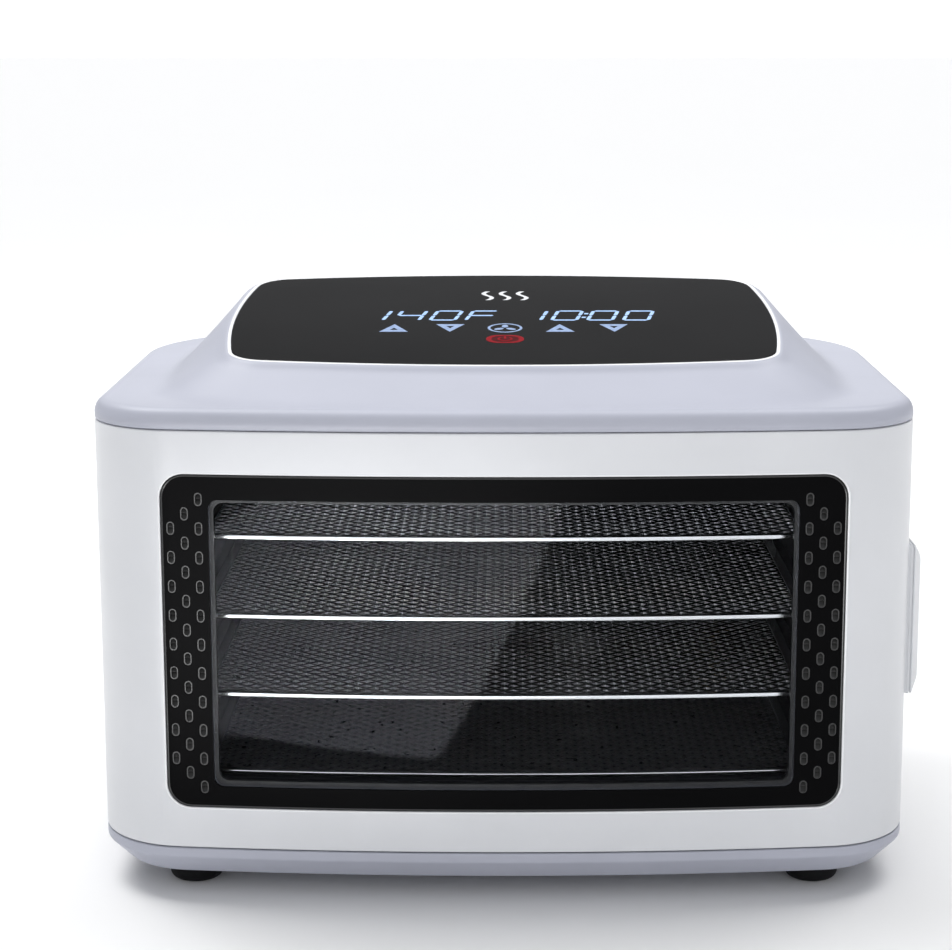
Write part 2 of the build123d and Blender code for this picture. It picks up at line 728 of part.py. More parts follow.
with BuildPart() as top_lid:
    with BuildSketch(Plane.XY.offset(BODY_TOP)):
        plan_outline()
    extrude(amount=LID_SHOULDER - BODY_TOP)
    fillet(top_lid.edges().group_by(Axis.Z)[-1], 3.6)
    hump(0, 0)
    # hollow underneath, closed over the door
    with BuildSketch(Plane.XY.offset(BODY_TOP + DECK)):
        plan_outline(WALL + 1.5)
    extrude(amount=LID_SHOULDER - BODY_TOP - 2 * DECK, mode=Mode.SUBTRACT)
    with BuildSketch(Plane.XY.offset(BODY_TOP)):
        plan_outline(WALL + 1.5)
        half_plane(BULKHEAD_Y + BULKHEAD_T, behind=False)
    extrude(amount=DECK, mode=Mode.SUBTRACT)
    hump(3.2, 2.3, mode=Mode.SUBTRACT)
    # recess for the glass and the opening under it
    with BuildSketch(panel_plane()):
        add(
            bowed_oblong(
                PANEL_HALF_W + FIT, PANEL_HALF_L + FIT, PANEL_SIDE_BOW, PANEL_END_BOW, PANEL_R + FIT
            )
        )
    extrude(amount=-PANEL_T, mode=Mode.SUBTRACT)
    with BuildSketch(panel_plane()):
        RectangleRounded(150, 96, 6)
    extrude(amount=-12, mode=Mode.SUBTRACT)
write(top_lid, "top_lid")

with BuildPart() as control_glass:
    with BuildSketch(panel_plane(-PANEL_T)):
        add(bowed_oblong(PANEL_HALF_W, PANEL_HALF_L, PANEL_SIDE_BOW, PANEL_END_BOW, PANEL_R))
    extrude(amount=PANEL_T)
write(control_glass, "control_glass")

CONTROL_BOARD_DROP = 10.0
with BuildPart() as control_board:
    with BuildSketch(panel_plane(-CONTROL_BOARD_DROP)):
        RectangleRounded(140, 86, 3)
    extrude(amount=BOARD_T)
write(control_board, "control_board")

with BuildPart() as display_module:
    with BuildSketch(panel_plane(-CONTROL_BOARD_DROP + BOARD_T)):
        with Locations((4, 2)):
            Rectangle(116, 20)
    extrude(amount=CONTROL_BOARD_DROP - BOARD_T - PANEL_T - 0.3)
write(display_module, "display_module")

with BuildPart() as touch_springs:
    with BuildSketch(panel_plane(-CONTROL_BOARD_DROP + BOARD_T)):
        with Locations((0, -17)):
            with GridLocations(KEY_PITCH, 0, 5, 1):
                Circle(4)
                Circle(3, mode=Mode.SUBTRACT)
        with Locations((0, -32)):
            Circle(4)
            Circle(3, mode=Mode.SUBTRACT)
    extrude(amount=CONTROL_BOARD_DROP - BOARD_T - PANEL_T)
write(touch_springs, "touch_springs")

# ---------------------------------------------------------------- door

with BuildPart() as door_shell:
    with BuildSketch(Plane.XY.offset(DOOR_BOTTOM)):
        plan_outline()
        half_plane(SEAM_Y - SEAM_GAP, behind=True)
    extrude(amount=DOOR_TOP - DOOR_BOTTOM)
    with BuildSketch(Plane.XY.offset(DOOR_BOTTOM + WALL)):
        plan_outline(DOOR_WALL)
        half_plane(SEAM_Y, behind=True)
    extrude(amount=DOOR_TOP - DOOR_BOTTOM - 2 * WALL, mode=Mode.SUBTRACT)
    # pads for the hinge leaves and the magnet
    for hinge_z in HINGE_ZS.values():
        with BuildSketch(Plane.XY.offset(hinge_z - 1)):
            with Locations((HINGE_X + WALL + LEAF_W / 2 - 1, SEAM_Y - 0.4 - LEAF_T - PAD_T / 2)):
                Rectangle(LEAF_W + 3, PAD_T)
        extrude(amount=HINGE_H + 2)
    with BuildSketch(Plane.XY.offset(GRIP_Z - MAGNET_H / 2 - 2)):
        with Locations((MAGNET_X + 1.5, SEAM_Y - 7.5)):
            Rectangle(MAGNET_W + 7, 3)
    extrude(amount=MAGNET_H + 4)
    # bosses behind the front wall for the liner's screws
    for screw_x in DOOR_SCREW_XS:
        for screw_z in DOOR_SCREW_ZS:
            with BuildSketch(facing_front(bow_y(screw_x, LINER_FRONT - 0.4))):
                with Locations((screw_x, screw_z)):
                    Circle(3)
            extrude(amount=LINER_FRONT - 2)
            with BuildSketch(facing_front(bow_y(screw_x, LINER_FRONT))):
                with Locations((screw_x, screw_z)):
                    Circle(SCREW_R)
            extrude(amount=3, mode=Mode.SUBTRACT)
    # opening for the vented frame, and the notches round the hinge knuckles
    with BuildSketch(facing_front(FRONT_Y - 1)):
        with Locations((0, FRAME_Z)):
            RectangleRounded(FRAME_W + 2 * FIT, FRAME_H + 2 * FIT, FRAME_R + FIT)
    extrude(amount=-15, mode=Mode.SUBTRACT)
    for hinge_z in HINGE_ZS.values():
        with BuildSketch(Plane.XY.offset(hinge_z - 0.5)):
            with Locations((HINGE_X, SEAM_Y)):
                Circle(HINGE_NOTCH_R)
        extrude(amount=HINGE_H + 1.8, mode=Mode.SUBTRACT)
write(door_shell, "door_shell")

with BuildPart() as door_frame:
    bowed_plate(FRAME_W, FRAME_H, FRAME_Z, FRAME_R, FRAME_SET_BACK, DOOR_WALL)
    with BuildSketch(Plane.XY.offset(FRAME_Z - FLANGE_H / 2)):
        front_band(FLANGE_W, DOOR_WALL, LINER_FRONT)
    extrude(amount=FLANGE_H)
    window_cut(0)
    with BuildSketch(facing_front(FRONT_Y - 1)):
        for side in (-1, 1):
            for column in range(3):
                with Locations((side * (VENT_X + column * VENT_COLUMN_STEP), WINDOW_Z)):
                    with GridLocations(0, VENT_PITCH, 1, VENT_ROWS - column):
                        SlotOverall(VENT_H, VENT_W, rotation=90)
    extrude(amount=-PLATE_REACH, mode=Mode.SUBTRACT)
write(door_frame, "door_frame")

with BuildPart() as door_window:
    bowed_plate(
        WINDOW_W - FIT, WINDOW_H - FIT, WINDOW_Z, WINDOW_R, PANE_FRONT, PANE_FRONT + PANE_T
    )
write(door_window, "door_window")

with BuildPart() as window_gasket:
    bowed_plate(
        WINDOW_W - FIT, WINDOW_H - FIT, WINDOW_Z, WINDOW_R, PANE_FRONT + PANE_T, LINER_FRONT
    )
    window_cut(GASKET_W)
write(window_gasket, "window_gasket")

with BuildPart() as door_liner:
    bowed_plate(LINER_W, LINER_H, LINER_Z, FRAME_R, LINER_FRONT, LINER_FRONT + LINER_T)
    window_cut(GASKET_W)
    with BuildSketch(facing_front(FRONT_Y - 1)):
        with Locations((0, WINDOW_Z)):
            with GridLocations(2 * (VENT_X + VENT_COLUMN_STEP), 0, 2, 1):
                SlotOverall(VENT_SLOT_H, VENT_SLOT_W, rotation=90)
    extrude(amount=-PLATE_REACH, mode=Mode.SUBTRACT)
    for screw_x in DOOR_SCREW_XS:
        for screw_z in DOOR_SCREW_ZS:
            with BuildSketch(facing_front(bow_y(screw_x, 0))):
                with Locations((screw_x, screw_z)):
                    Circle(SCREW_R)
            extrude(amount=-PLATE_REACH, mode=Mode.SUBTRACT)
            with BuildSketch(facing_front(bow_y(screw_x, LINER_FRONT + LINER_T - 0.5))):
                with Locations((screw_x, screw_z)):
                    Circle(SCREW_HEAD_R + FIT)
            extrude(amount=-5, mode=Mode.SUBTRACT)
write(door_liner, "door_liner")

with BuildPart() as door_screws:
    for screw_x in DOOR_SCREW_XS:
        for screw_z in DOOR_SCREW_ZS:
            with BuildSketch(facing_front(bow_y(screw_x, LINER_FRONT + LINER_T - 0.5))):
                with Locations((screw_x, screw_z)):
                    Circle(SCREW_HEAD_R)
            extrude(amount=-SCREW_HEAD_T)
            with BuildSketch(facing_front(bow_y(screw_x, LINER_FRONT + LINER_T - 0.5))):
                with Locations((screw_x, screw_z)):
                    Circle(SCREW_R)
            extrude(amount=LINER_T + 1.5)
write(door_screws, "door_screws")

with BuildPart() as door_grip:
    with BuildSketch(facing_front(GRIP_Y0)):
        with Locations(((GRIP_X + SIDE_X - 12) / 2, GRIP_Z)):
            Rectangle(GRIP_X - SIDE_X + 12, GRIP_H)
    extrude(amount=GRIP_Y0 - GRIP_Y1)
    chamfer(door_grip.faces().sort_by(Axis.X)[-1].edges(), GRIP_CHAMFER, GRIP_CHAMFER * 0.9)
    with BuildSketch(Plane.XY.offset(GRIP_Z - GRIP_H)):
        plan_outline()
    extrude(amount=2 * GRIP_H, mode=Mode.SUBTRACT)
    # clear of the fixed body behind the seam
    with BuildSketch(Plane.XY.offset(GRIP_Z - GRIP_H)):
        plan_outline(-GRIP_CLEARANCE)
        half_plane(SEAM_Y - SEAM_GAP, behind=False)
    extrude(amount=2 * GRIP_H, mode=Mode.SUBTRACT)
write(door_grip, "door_grip")

with BuildPart() as door_magnet:
    with BuildSketch(facing_front(SEAM_Y - 6)):
        with Locations((MAGNET_X, GRIP_Z)):
            RectangleRounded(MAGNET_W, MAGNET_H, 1)
    extrude(amount=-6 - 0.4 + MAGNET_GAP)
write(door_magnet, "door_magnet")

with BuildPart() as strike_plate:
    with BuildSketch(facing_front(BULKHEAD_Y)):
        with Locations((MAGNET_X, GRIP_Z)):
            RectangleRounded(MAGNET_W, MAGNET_H, 1)
    extrude(amount=LEAF_T)
write(strike_plate, "strike_plate")

# ---------------------------------------------------------------- hinges


def hinge_leaf(name, base_z, toward_rear, knuckles):
    """One leaf of a hinge: a plate in the parting plane with its knuckles on the axis."""
    sense = 1 if toward_rear else -1
    plate_y = SEAM_Y + sense * (0.4 + LEAF_T / 2)
    plate_x = HINGE_X + DOOR_WALL + FIT + LEAF_W / 2
    with BuildPart() as leaf:
        with BuildSketch(Plane.XY.offset(base_z)):
            with Locations((plate_x, plate_y)):
                Rectangle(LEAF_W, LEAF_T)
        extrude(amount=HINGE_H)
        for knuckle in knuckles:
            with BuildSketch(Plane.XY.offset(base_z + knuckle * (KNUCKLE_H + KNUCKLE_GAP))):
                with Locations((HINGE_X, SEAM_Y)):
                    Circle(KNUCKLE_R)
                with Locations(((HINGE_X + plate_x) / 2, plate_y)):
                    Rectangle(plate_x - HINGE_X, LEAF_T)
                with Locations((HINGE_X, SEAM_Y)):
                    Circle(HINGE_PIN_R + HINGE_CLEARANCE, mode=Mode.SUBTRACT)
            extrude(amount=KNUCKLE_H)
    write(leaf, name)


for position, hinge_z in HINGE_ZS.items():
    hinge_leaf(f"hinge_body_leaf_{position}", hinge_z, True, (0, 2))
    hinge_leaf(f"hinge_door_leaf_{position}", hinge_z, False, (1,))
    with BuildPart() as hinge_pin:
        with BuildSketch(Plane.XY.offset(hinge_z)):
            with Locations((HINGE_X, SEAM_Y)):
                Circle(HINGE_PIN_R)
        extrude(amount=HINGE_H)
        with BuildSketch(Plane.XY.offset(hinge_z + HINGE_H)):
            with Locations((HINGE_X, SEAM_Y)):
                Circle(HINGE_PIN_HEAD_R)
        extrude(amount=0.8)
    write(hinge_pin, f"hinge_pin_{position}")
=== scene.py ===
import json
from math import atan2, cos, hypot, pi, radians, sin, sqrt

import bpy
import numpy as np
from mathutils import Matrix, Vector


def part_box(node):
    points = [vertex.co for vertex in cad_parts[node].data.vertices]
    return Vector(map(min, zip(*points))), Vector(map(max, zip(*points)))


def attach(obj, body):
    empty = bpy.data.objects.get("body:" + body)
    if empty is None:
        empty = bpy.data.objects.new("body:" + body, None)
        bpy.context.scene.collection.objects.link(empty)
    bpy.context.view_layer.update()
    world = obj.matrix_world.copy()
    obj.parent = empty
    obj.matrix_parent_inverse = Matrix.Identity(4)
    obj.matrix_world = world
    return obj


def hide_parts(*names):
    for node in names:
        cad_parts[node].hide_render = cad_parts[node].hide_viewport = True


# Looks of a countertop food dehydrator: white body and door, lavender lid and base, black vented
# window frame, touch panel with a lit display, and four stainless mesh trays.
# Lengths are in millimetres in the CAD frame, and turned into metres when a mesh is made.

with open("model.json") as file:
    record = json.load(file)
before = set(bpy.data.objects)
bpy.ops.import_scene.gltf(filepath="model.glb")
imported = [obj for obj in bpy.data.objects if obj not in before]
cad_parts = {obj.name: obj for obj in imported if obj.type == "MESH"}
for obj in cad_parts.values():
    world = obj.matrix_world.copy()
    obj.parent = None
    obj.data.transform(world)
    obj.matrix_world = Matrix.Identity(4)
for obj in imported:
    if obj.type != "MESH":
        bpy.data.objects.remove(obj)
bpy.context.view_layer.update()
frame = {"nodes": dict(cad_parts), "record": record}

MM = 0.001


def box_mm(node):
    """Lowest and highest corner of a CAD node, in millimetres."""
    low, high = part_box(node)
    return low / MM, high / MM


# ---------------------------------------------------------------- driving dimensions

BODY_HIGH = box_mm("body_shell")[1]
SIDE_X, REAR_Y, BODY_TOP = BODY_HIGH.x, BODY_HIGH.y, BODY_HIGH.z
FRONT_Y = -REAR_Y
BOW_R = 1093.0
BOW_CENTRE_Y = FRONT_Y + BOW_R
FRONT_CORNER_R = 35.0
REAR_CORNER_R = 72.0

LID_SHOULDER = 182.8
LID_WALL = 4.1
LID_SKIN = 2.4
BULKHEAD_FRONT = box_mm("front_bulkhead")[0].y

PANEL_MID = (FRONT_Y + 106.0, 203.6)
PANEL_FRONT_Y, PANEL_REAR_Y = FRONT_Y + 38.0, FRONT_Y + 174.0
PANEL_RISE = 18.6
PANEL_TILT = atan2(PANEL_RISE, PANEL_REAR_Y - PANEL_FRONT_Y)
PANEL_HALF_L = (PANEL_REAR_Y - PANEL_FRONT_Y) / 2 / cos(PANEL_TILT)
PANEL_HALF_W = 105.0
PANEL_SIDE_BOW, PANEL_END_BOW = 5.5, 8.0
PANEL_R = 14.0
PANEL_T = 2.2
PANEL_RIM = 1.3
PANEL_FIT = 0.2

HUMP_FOOT = (134.0, 103.5, 6.0, 5.0, 48.0)
HUMP_FOOT_Y = FRONT_Y + 111.5

TRAY_BOXES = [box_mm(f"tray_{number}_mesh") for number in range(1, 5)]

# ---------------------------------------------------------------- shader nodes

# depth of each surface relief, in metres
GRAIN_DEPTH, STREAK_DEPTH, PEEL_DEPTH, MASK_DEPTH = 0.00004, 0.00003, 0.00006, 0.00005
PEEL_RELIEF, MASK_RELIEF = 0.25, 0.3
PANE_IOR = 1.1


def map_range(tree, source, start, stop, low, high):
    """A socket that goes from low to high while source goes from start to stop."""
    made = tree.nodes.new("ShaderNodeMapRange")
    ends = {"From Min": start, "From Max": stop, "To Min": low, "To Max": high}
    for socket, value in ends.items():
        made.inputs[socket].default_value = value
    tree.links.new(source, made.inputs["Value"])
    return made.outputs["Result"]


class Shader:
    """A material under construction: its node tree and its Principled node."""

    def __init__(self, name, **settings):
        self.material = bpy.data.materials.new(name)
        self.material.use_nodes = True
        self.tree = self.material.node_tree
        self.tree.nodes.clear()
        self.output = self.node("ShaderNodeOutputMaterial")
        self.principled = self.node("ShaderNodeBsdfPrincipled")
        self.link(self.principled, "BSDF", self.output, "Surface")
        coordinates = self.node("ShaderNodeTexCoord")
        self.place = coordinates.outputs["Object"]
        for socket, value in settings.items():
            self.principled.inputs[socket.replace("_", " ")].default_value = value

    def node(self, kind, **values):
        made = self.tree.nodes.new(kind)
        for key, value in values.items():
            setattr(made, key, value)
        return made

    def link(self, source, out, target, into):
        self.tree.links.new(source.outputs[out], target.inputs[into])

    def stretched(self, scale):
        """Object coordinates, in metres, multiplied by scale."""
        mapping = self.node("ShaderNodeMapping")
        mapping.inputs["Scale"].default_value = scale
        self.tree.links.new(self.place, mapping.inputs["Vector"])
        return mapping.outputs["Vector"]

    def noise(self, scale, detail=3.0, stretch=(1, 1, 1)):
        """Noise with this many features to the metre, as a socket."""
        made = self.node("ShaderNodeTexNoise")
        made.inputs["Scale"].default_value = scale
        made.inputs["Detail"].default_value = detail
        self.tree.links.new(self.stretched(stretch), made.inputs["Vector"])
        return made.outputs["Fac"]

    def spread(self, value, low, high, soft=0.25):
        """A value that varies about 0.5, mapped to low to high."""
        return map_range(self.tree, value, 0.5 - soft, 0.5 + soft, low, high)

    def blend(self, value, first, second):
        """A colour between two colours, by value."""
        made = self.node("ShaderNodeMix", data_type="RGBA")
        for socket in made.inputs:
            if socket.type == "RGBA" and socket.name in "AB":
                socket.default_value = (*(first if socket.name == "A" else second), 1)
        self.tree.links.new(value, made.inputs["Factor"])
        return next(s for s in made.outputs if s.type == "RGBA")

    def feed(self, socket, value):
        self.tree.links.new(value, self.principled.inputs[socket])

    def bump(self, height, strength, distance):
        made = self.node("ShaderNodeBump")
        made.inputs["Strength"].default_value = strength
        made.inputs["Distance"].default_value = distance
        self.tree.links.new(height, made.inputs["Height"])
        self.tree.links.new(made.outputs["Normal"], self.principled.inputs["Normal"])


def moulded(name, dark, light, roughness, grain, relief, **settings):
    """Moulded plastic or rubber: a faint cloud of colour and a fine surface grain."""
    shader = Shader(name, **settings)
    cloud = shader.noise(22.0, 4.0)
    shader.feed("Base Color", shader.blend(shader.spread(cloud, 0, 1), dark, light))
    fine = shader.noise(grain, 2.0)
    shader.feed("Roughness", shader.spread(fine, roughness * 0.88, roughness * 1.12))
    shader.bump(fine, relief, GRAIN_DEPTH)
    return shader.material


def metal(name, dark, light, roughness, stretch, relief):
    """Rolled or brushed metal: streaks along one direction in colour, gloss and relief."""
    shader = Shader(name, Metallic=1.0)
    streaks = shader.noise(260.0, 4.0, stretch)
    cloud = shader.noise(14.0, 3.0)
    shader.feed("Base Color", shader.blend(shader.spread(cloud, 0, 1), dark, light))
    shader.feed("Roughness", shader.spread(streaks, roughness * 0.7, roughness * 1.3))
    shader.bump(streaks, relief, STREAK_DEPTH)
    return shader.material


def coated(name, dark, light, roughness):
    """Coated sheet metal: colour with a speckle, and an orange-peel surface."""
    shader = Shader(name)
    speckle = shader.noise(900.0, 2.0)
    peel = shader.noise(240.0, 2.0)
    shader.feed("Base Color", shader.blend(shader.spread(speckle, 0, 1), dark, light))
    shader.feed("Roughness", shader.spread(peel, roughness * 0.85, roughness * 1.15))
    shader.bump(peel, PEEL_RELIEF, PEEL_DEPTH)
    return shader.material


def clear_pane(name):
    """A clear pane: see-through face on, mirror-like at a grazing angle."""
    shader = Shader(name)
    shader.tree.nodes.remove(shader.principled)
    see_through = shader.node("ShaderNodeBsdfTransparent")
    see_through.inputs["Color"].default_value = (0.93, 0.94, 0.95, 1)
    gloss = shader.node("ShaderNodeBsdfGlossy")
    gloss.inputs["Color"].default_value = (0.9, 0.92, 1.0, 1)
    smear = shader.noise(30.0, 3.0)
    shader.tree.links.new(shader.spread(smear, 0.004, 0.012), gloss.inputs["Roughness"])
    fresnel = shader.node("ShaderNodeFresnel")
    fresnel.inputs["IOR"].default_value = PANE_IOR
    mix = shader.node("ShaderNodeMixShader")
    shader.link(fresnel, "Fac", mix, "Fac")
    shader.tree.links.new(see_through.outputs["BSDF"], mix.inputs[1])
    shader.tree.links.new(gloss.outputs["BSDF"], mix.inputs[2])
    shader.link(mix, "Shader", shader.output, "Surface")
    return shader.material


def circuit_board(name):
    """Solder mask over copper: blocky patches of two greens."""
    shader = Shader(name, Roughness=0.35)
    cells = shader.node("ShaderNodeTexVoronoi", distance="CHEBYCHEV")
    cells.inputs["Scale"].default_value = 420.0
    shader.tree.links.new(shader.place, cells.inputs["Vector"])
    mask = shader.spread(cells.outputs["Distance"], 0, 1, 0.12)
    shader.feed("Base Color", shader.blend(mask, (0.012, 0.09, 0.035), (0.03, 0.17, 0.07)))
    shader.bump(mask, MASK_RELIEF, MASK_DEPTH)
    return shader.material


def lit_print(name, colour, edge, glow):
    """Printed or back-lit mark: an uneven colour, and a little light of its own."""
    shader = Shader(name, Roughness=0.4, Specular_IOR_Level=0.02, Emission_Strength=glow)
    uneven = shader.spread(shader.noise(500.0, 2.0), 0, 1)
    tint = shader.blend(uneven, edge, colour)
    shader.feed("Base Color", tint)
    shader.feed("Emission Color", tint)
    return shader.material


MATERIALS = {
    "white_shell": moulded(
        "white_shell",
        dark=(0.66, 0.67, 0.695),
        light=(0.7, 0.71, 0.735),
        roughness=0.34,
        grain=2600.0,
        relief=0.18,
    ),
    "lavender_trim": moulded(
        "lavender_trim",
        dark=(0.42, 0.433, 0.5),
        light=(0.45, 0.463, 0.535),
        roughness=0.42,
        grain=2200.0,
        relief=0.25,
        Specular_IOR_Level=0.25,
    ),
    "black_frame": moulded(
        "black_frame",
        dark=(0.002, 0.002, 0.0023),
        light=(0.003, 0.003, 0.0034),
        roughness=0.34,
        grain=1800.0,
        relief=0.2,
        Specular_IOR_Level=0.025,
    ),
    "panel_glass": moulded(
        "panel_glass",
        dark=(0.01, 0.01, 0.0105),
        light=(0.013, 0.013, 0.0135),
        roughness=0.16,
        grain=2800.0,
        relief=0.03,
        Specular_IOR_Level=0.012,
    ),
    "clear_pane": clear_pane("clear_pane"),
    "dark_liner": coated(
        "dark_liner", dark=(0.012, 0.012, 0.015), light=(0.024, 0.023, 0.028), roughness=0.38
    ),
    "baffle_sheet": coated(
        "baffle_sheet", dark=(0.045, 0.045, 0.05), light=(0.07, 0.07, 0.075), roughness=0.4
    ),
    "tray_steel": metal(
        "tray_steel",
        dark=(0.82, 0.82, 0.83),
        light=(0.9, 0.9, 0.9),
        roughness=0.18,
        stretch=(0.15, 1, 1),
        relief=0.2,
    ),
    "foot_rubber": moulded(
        "foot_rubber",
        dark=(0.004, 0.004, 0.0045),
        light=(0.008, 0.008, 0.009),
        roughness=0.5,
        grain=1500.0,
        relief=0.6,
        Specular_IOR_Level=0.15,
    ),
    "seal_rubber": moulded(
        "seal_rubber",
        dark=(0.012, 0.012, 0.013),
        light=(0.02, 0.02, 0.021),
        roughness=0.5,
        grain=1500.0,
        relief=0.4,
    ),
    "zinc_steel": metal(
        "zinc_steel",
        dark=(0.5, 0.51, 0.54),
        light=(0.66, 0.67, 0.69),
        roughness=0.32,
        stretch=(1, 1, 0.2),
        relief=0.3,
    ),
    "motor_body": metal(
        "motor_body",
        dark=(0.34, 0.34, 0.36),
        light=(0.48, 0.48, 0.5),
        roughness=0.42,
        stretch=(1, 0.2, 1),
        relief=0.5,
    ),
    "fan_blades": metal(
        "fan_blades",
        dark=(0.55, 0.56, 0.58),
        light=(0.7, 0.71, 0.73),
        roughness=0.3,
        stretch=(1, 1, 1),
        relief=0.3,
    ),
    "mica_board": coated(
        "mica_board", dark=(0.3, 0.24, 0.14), light=(0.44, 0.37, 0.24), roughness=0.5
    ),
    "heater_sheath": metal(
        "heater_sheath",
        dark=(0.16, 0.13, 0.12),
        light=(0.34, 0.3, 0.28),
        roughness=0.45,
        stretch=(1, 1, 1),
        relief=0.4,
    ),
    "grille_plastic": moulded(
        "grille_plastic",
        dark=(0.018, 0.018, 0.02),
        light=(0.03, 0.03, 0.032),
        roughness=0.45,
        grain=1500.0,
        relief=0.5,
    ),
    "brass_pins": metal(
        "brass_pins",
        dark=(0.62, 0.45, 0.18),
        light=(0.78, 0.6, 0.3),
        roughness=0.28,
        stretch=(1, 0.2, 1),
        relief=0.2,
    ),
    "circuit_board": circuit_board("circuit_board"),
    "component_case": moulded(
        "component_case",
        dark=(0.01, 0.01, 0.012),
        light=(0.03, 0.03, 0.034),
        roughness=0.4,
        grain=900.0,
        relief=0.4,
    ),
}
# the tray mesh is the trays' stainless steel, made much darker than the rims: painted shade for the
# dim inside of the chamber
SHADED_MESH_STEEL = metal(
    "painted_shade_mesh_steel",
    dark=(0.2, 0.2, 0.21),
    light=(0.36, 0.36, 0.37),
    roughness=0.34,
    stretch=(1, 1, 1),
    relief=0.4,
)
LIT_BLUE = lit_print("display_lit", colour=(0.3, 0.42, 0.62), edge=(0.2, 0.3, 0.5), glow=0.8)
PRINT_BLUE = lit_print("key_print", colour=(0.26, 0.34, 0.5), edge=(0.18, 0.24, 0.38), glow=0.4)
PRINT_WHITE = lit_print("mark_print", colour=(0.6, 0.61, 0.63), edge=(0.5, 0.51, 0.53), glow=0.35)
KEY_RED = lit_print("key_red", colour=(0.24, 0.006, 0.011), edge=(0.16, 0.004, 0.008), glow=0.35)
KEY_DARK_RED = lit_print(
    "key_dark_red", colour=(0.07, 0.003, 0.005), edge=(0.045, 0.002, 0.004), glow=0.2
)
# a whiter copy of the white shell plastic for thin beads along edges: a painted highlight that
# stands in for light caught on those edges
HIGHLIGHT_WHITE = moulded(
    "painted_highlight_white",
    dark=(0.86, 0.865, 0.88),
    light=(0.9, 0.905, 0.92),
    roughness=0.25,
    grain=2600.0,
    relief=0.05,
)
EDGE_BLACK = moulded(
    "edge_black",
    dark=(0.01, 0.01, 0.011),
    light=(0.015, 0.015, 0.016),
    roughness=0.22,
    grain=1800.0,
    relief=0.05,
)
# a grey lighter than the frame's black plastic, for the vent lips: a painted highlight that stands
# in for light caught inside the vents
VENT_HIGHLIGHT_GREY = moulded(
    "painted_highlight_vent_grey",
    dark=(0.03, 0.03, 0.03),
    light=(0.06, 0.06, 0.06),
    roughness=0.3,
    grain=1500.0,
    relief=0.1,
)
# a grey lighter than the frame's black plastic, for the slats in the vents: painted light, so that
# the slats read as lit
LOUVRE_LIT_GREY = moulded(
    "painted_light_louvre_grey",
    dark=(0.035, 0.035, 0.035),
    light=(0.06, 0.06, 0.06),
    roughness=0.4,
    grain=1500.0,
    relief=0.1,
)

# ---------------------------------------------------------------- CAD nodes

# width in millimetres by which each node's sharp edges are rounded
SOFT_EDGES = {
    "door_shell": 0.7,
    "base_tray": 0.6,
    "front_bulkhead": 0.25,
    "chamber_liner": 0.25,
    "rear_grille": 0.4,
    "power_inlet": 0.3,
    "fan_motor": 0.3,
    "fan_spider": 0.25,
    "door_magnet": 0.3,
    "strike_plate": 0.15,
    "control_glass": 0.25,
    "power_relay": 0.3,
    "power_transformer": 0.3,
}
for number in range(1, 5):
    SOFT_EDGES[f"tray_{number}_rim"] = 0.3
WELD_REACH = 2e-6
SHARP_FROM = 28


def soften(node, width):
    """Welds a CAD node's faces together and rounds its sharp edges, as modifiers."""
    weld = node.modifiers.new("weld", "WELD")
    weld.merge_threshold = WELD_REACH
    bevel = node.modifiers.new("bevel", "BEVEL")
    bevel.width = width * MM
    bevel.segments = 2
    bevel.limit_method = "ANGLE"
    bevel.angle_limit = radians(SHARP_FROM)
    bevel.use_clamp_overlap = False
    bevel.miter_outer = "MITER_ARC"
    weighted = node.modifiers.new("weighted", "WEIGHTED_NORMAL")
    weighted.keep_sharp = True


for row in frame["record"]["subparts"]:
    node = frame["nodes"][row["node"]]
    node.data.materials.clear()
    node.data.materials.append(MATERIALS[row["material_slot"]])
    if node.name in SOFT_EDGES:
        soften(node, SOFT_EDGES[node.name])

# ---------------------------------------------------------------- mesh building


def piece(name, points, faces, body, slot, material=None, stands_for=(), sharp=35.0):
    """Makes a mesh from points in millimetres, and puts it on its body."""
    mesh = bpy.data.meshes.new(name)
    mesh.from_pydata([Vector(point) * MM for point in points], [], faces)
    mesh.materials.append(material or MATERIALS[slot])
    mesh.shade_smooth()
    mesh.set_sharp_from_angle(angle=radians(sharp))
    made = bpy.data.objects.new(name, mesh)
    bpy.context.scene.collection.objects.link(made)
    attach(made, body)
    if stands_for:
        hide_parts(*stands_for)


def skin(rings, cycle=False, capped=False):
    """Points and faces that join equal rings in turn; cycle joins the last to the first."""
    count = len(rings[0])
    points = [point for ring in rings for point in ring]
    faces = []
    for level in range(len(rings) if cycle else len(rings) - 1):
        low = level * count
        high = (level + 1) % len(rings) * count
        for i in range(count):
            j = (i + 1) % count
            faces.append((low + i, low + j, high + j, high + i))
    if capped:
        faces.append(tuple(reversed(range(count))))
        faces.append(tuple(range((len(rings) - 1) * count, len(rings) * count)))
    return points, faces


def joined(parts):
    """One list of points and faces from several."""
    points, faces = [], []
    for more_points, more_faces in parts:
        start = len(points)
        points.extend(more_points)
        faces.extend(tuple(start + i for i in face) for face in more_faces)
    return points, faces


def lerp(first, second, share):
    """The point this share of the way from first to second."""
    return tuple(a + (b - a) * share for a, b in zip(first, second))


def corner_turns(half_a, half_b, radius, steps):
    """Corner centres of a round-cornered rectangle, with the directions swept round each."""
    for corner in range(4):
        a = (half_a - radius) * (1 if corner in (0, 3) else -1)
        b = (half_b - radius) * (1 if corner in (0, 1) else -1)
        for i in range(steps + 1):
            yield a, b, pi / 2 * (corner + i / steps)


# ---------------------------------------------------------------- plan outline of the body

FRONT_STEPS, CORNER_STEPS, SIDE_STEPS, REAR_CORNER_STEPS, REAR_STEPS = 26, 14, 12, 20, 8
CORNER_X = SIDE_X - FRONT_CORNER_R
CORNER_Y = BOW_CENTRE_Y - sqrt((BOW_R - FRONT_CORNER_R) ** 2 - CORNER_X**2)
LEAN = atan2(CORNER_X, BOW_CENTRE_Y - CORNER_Y)


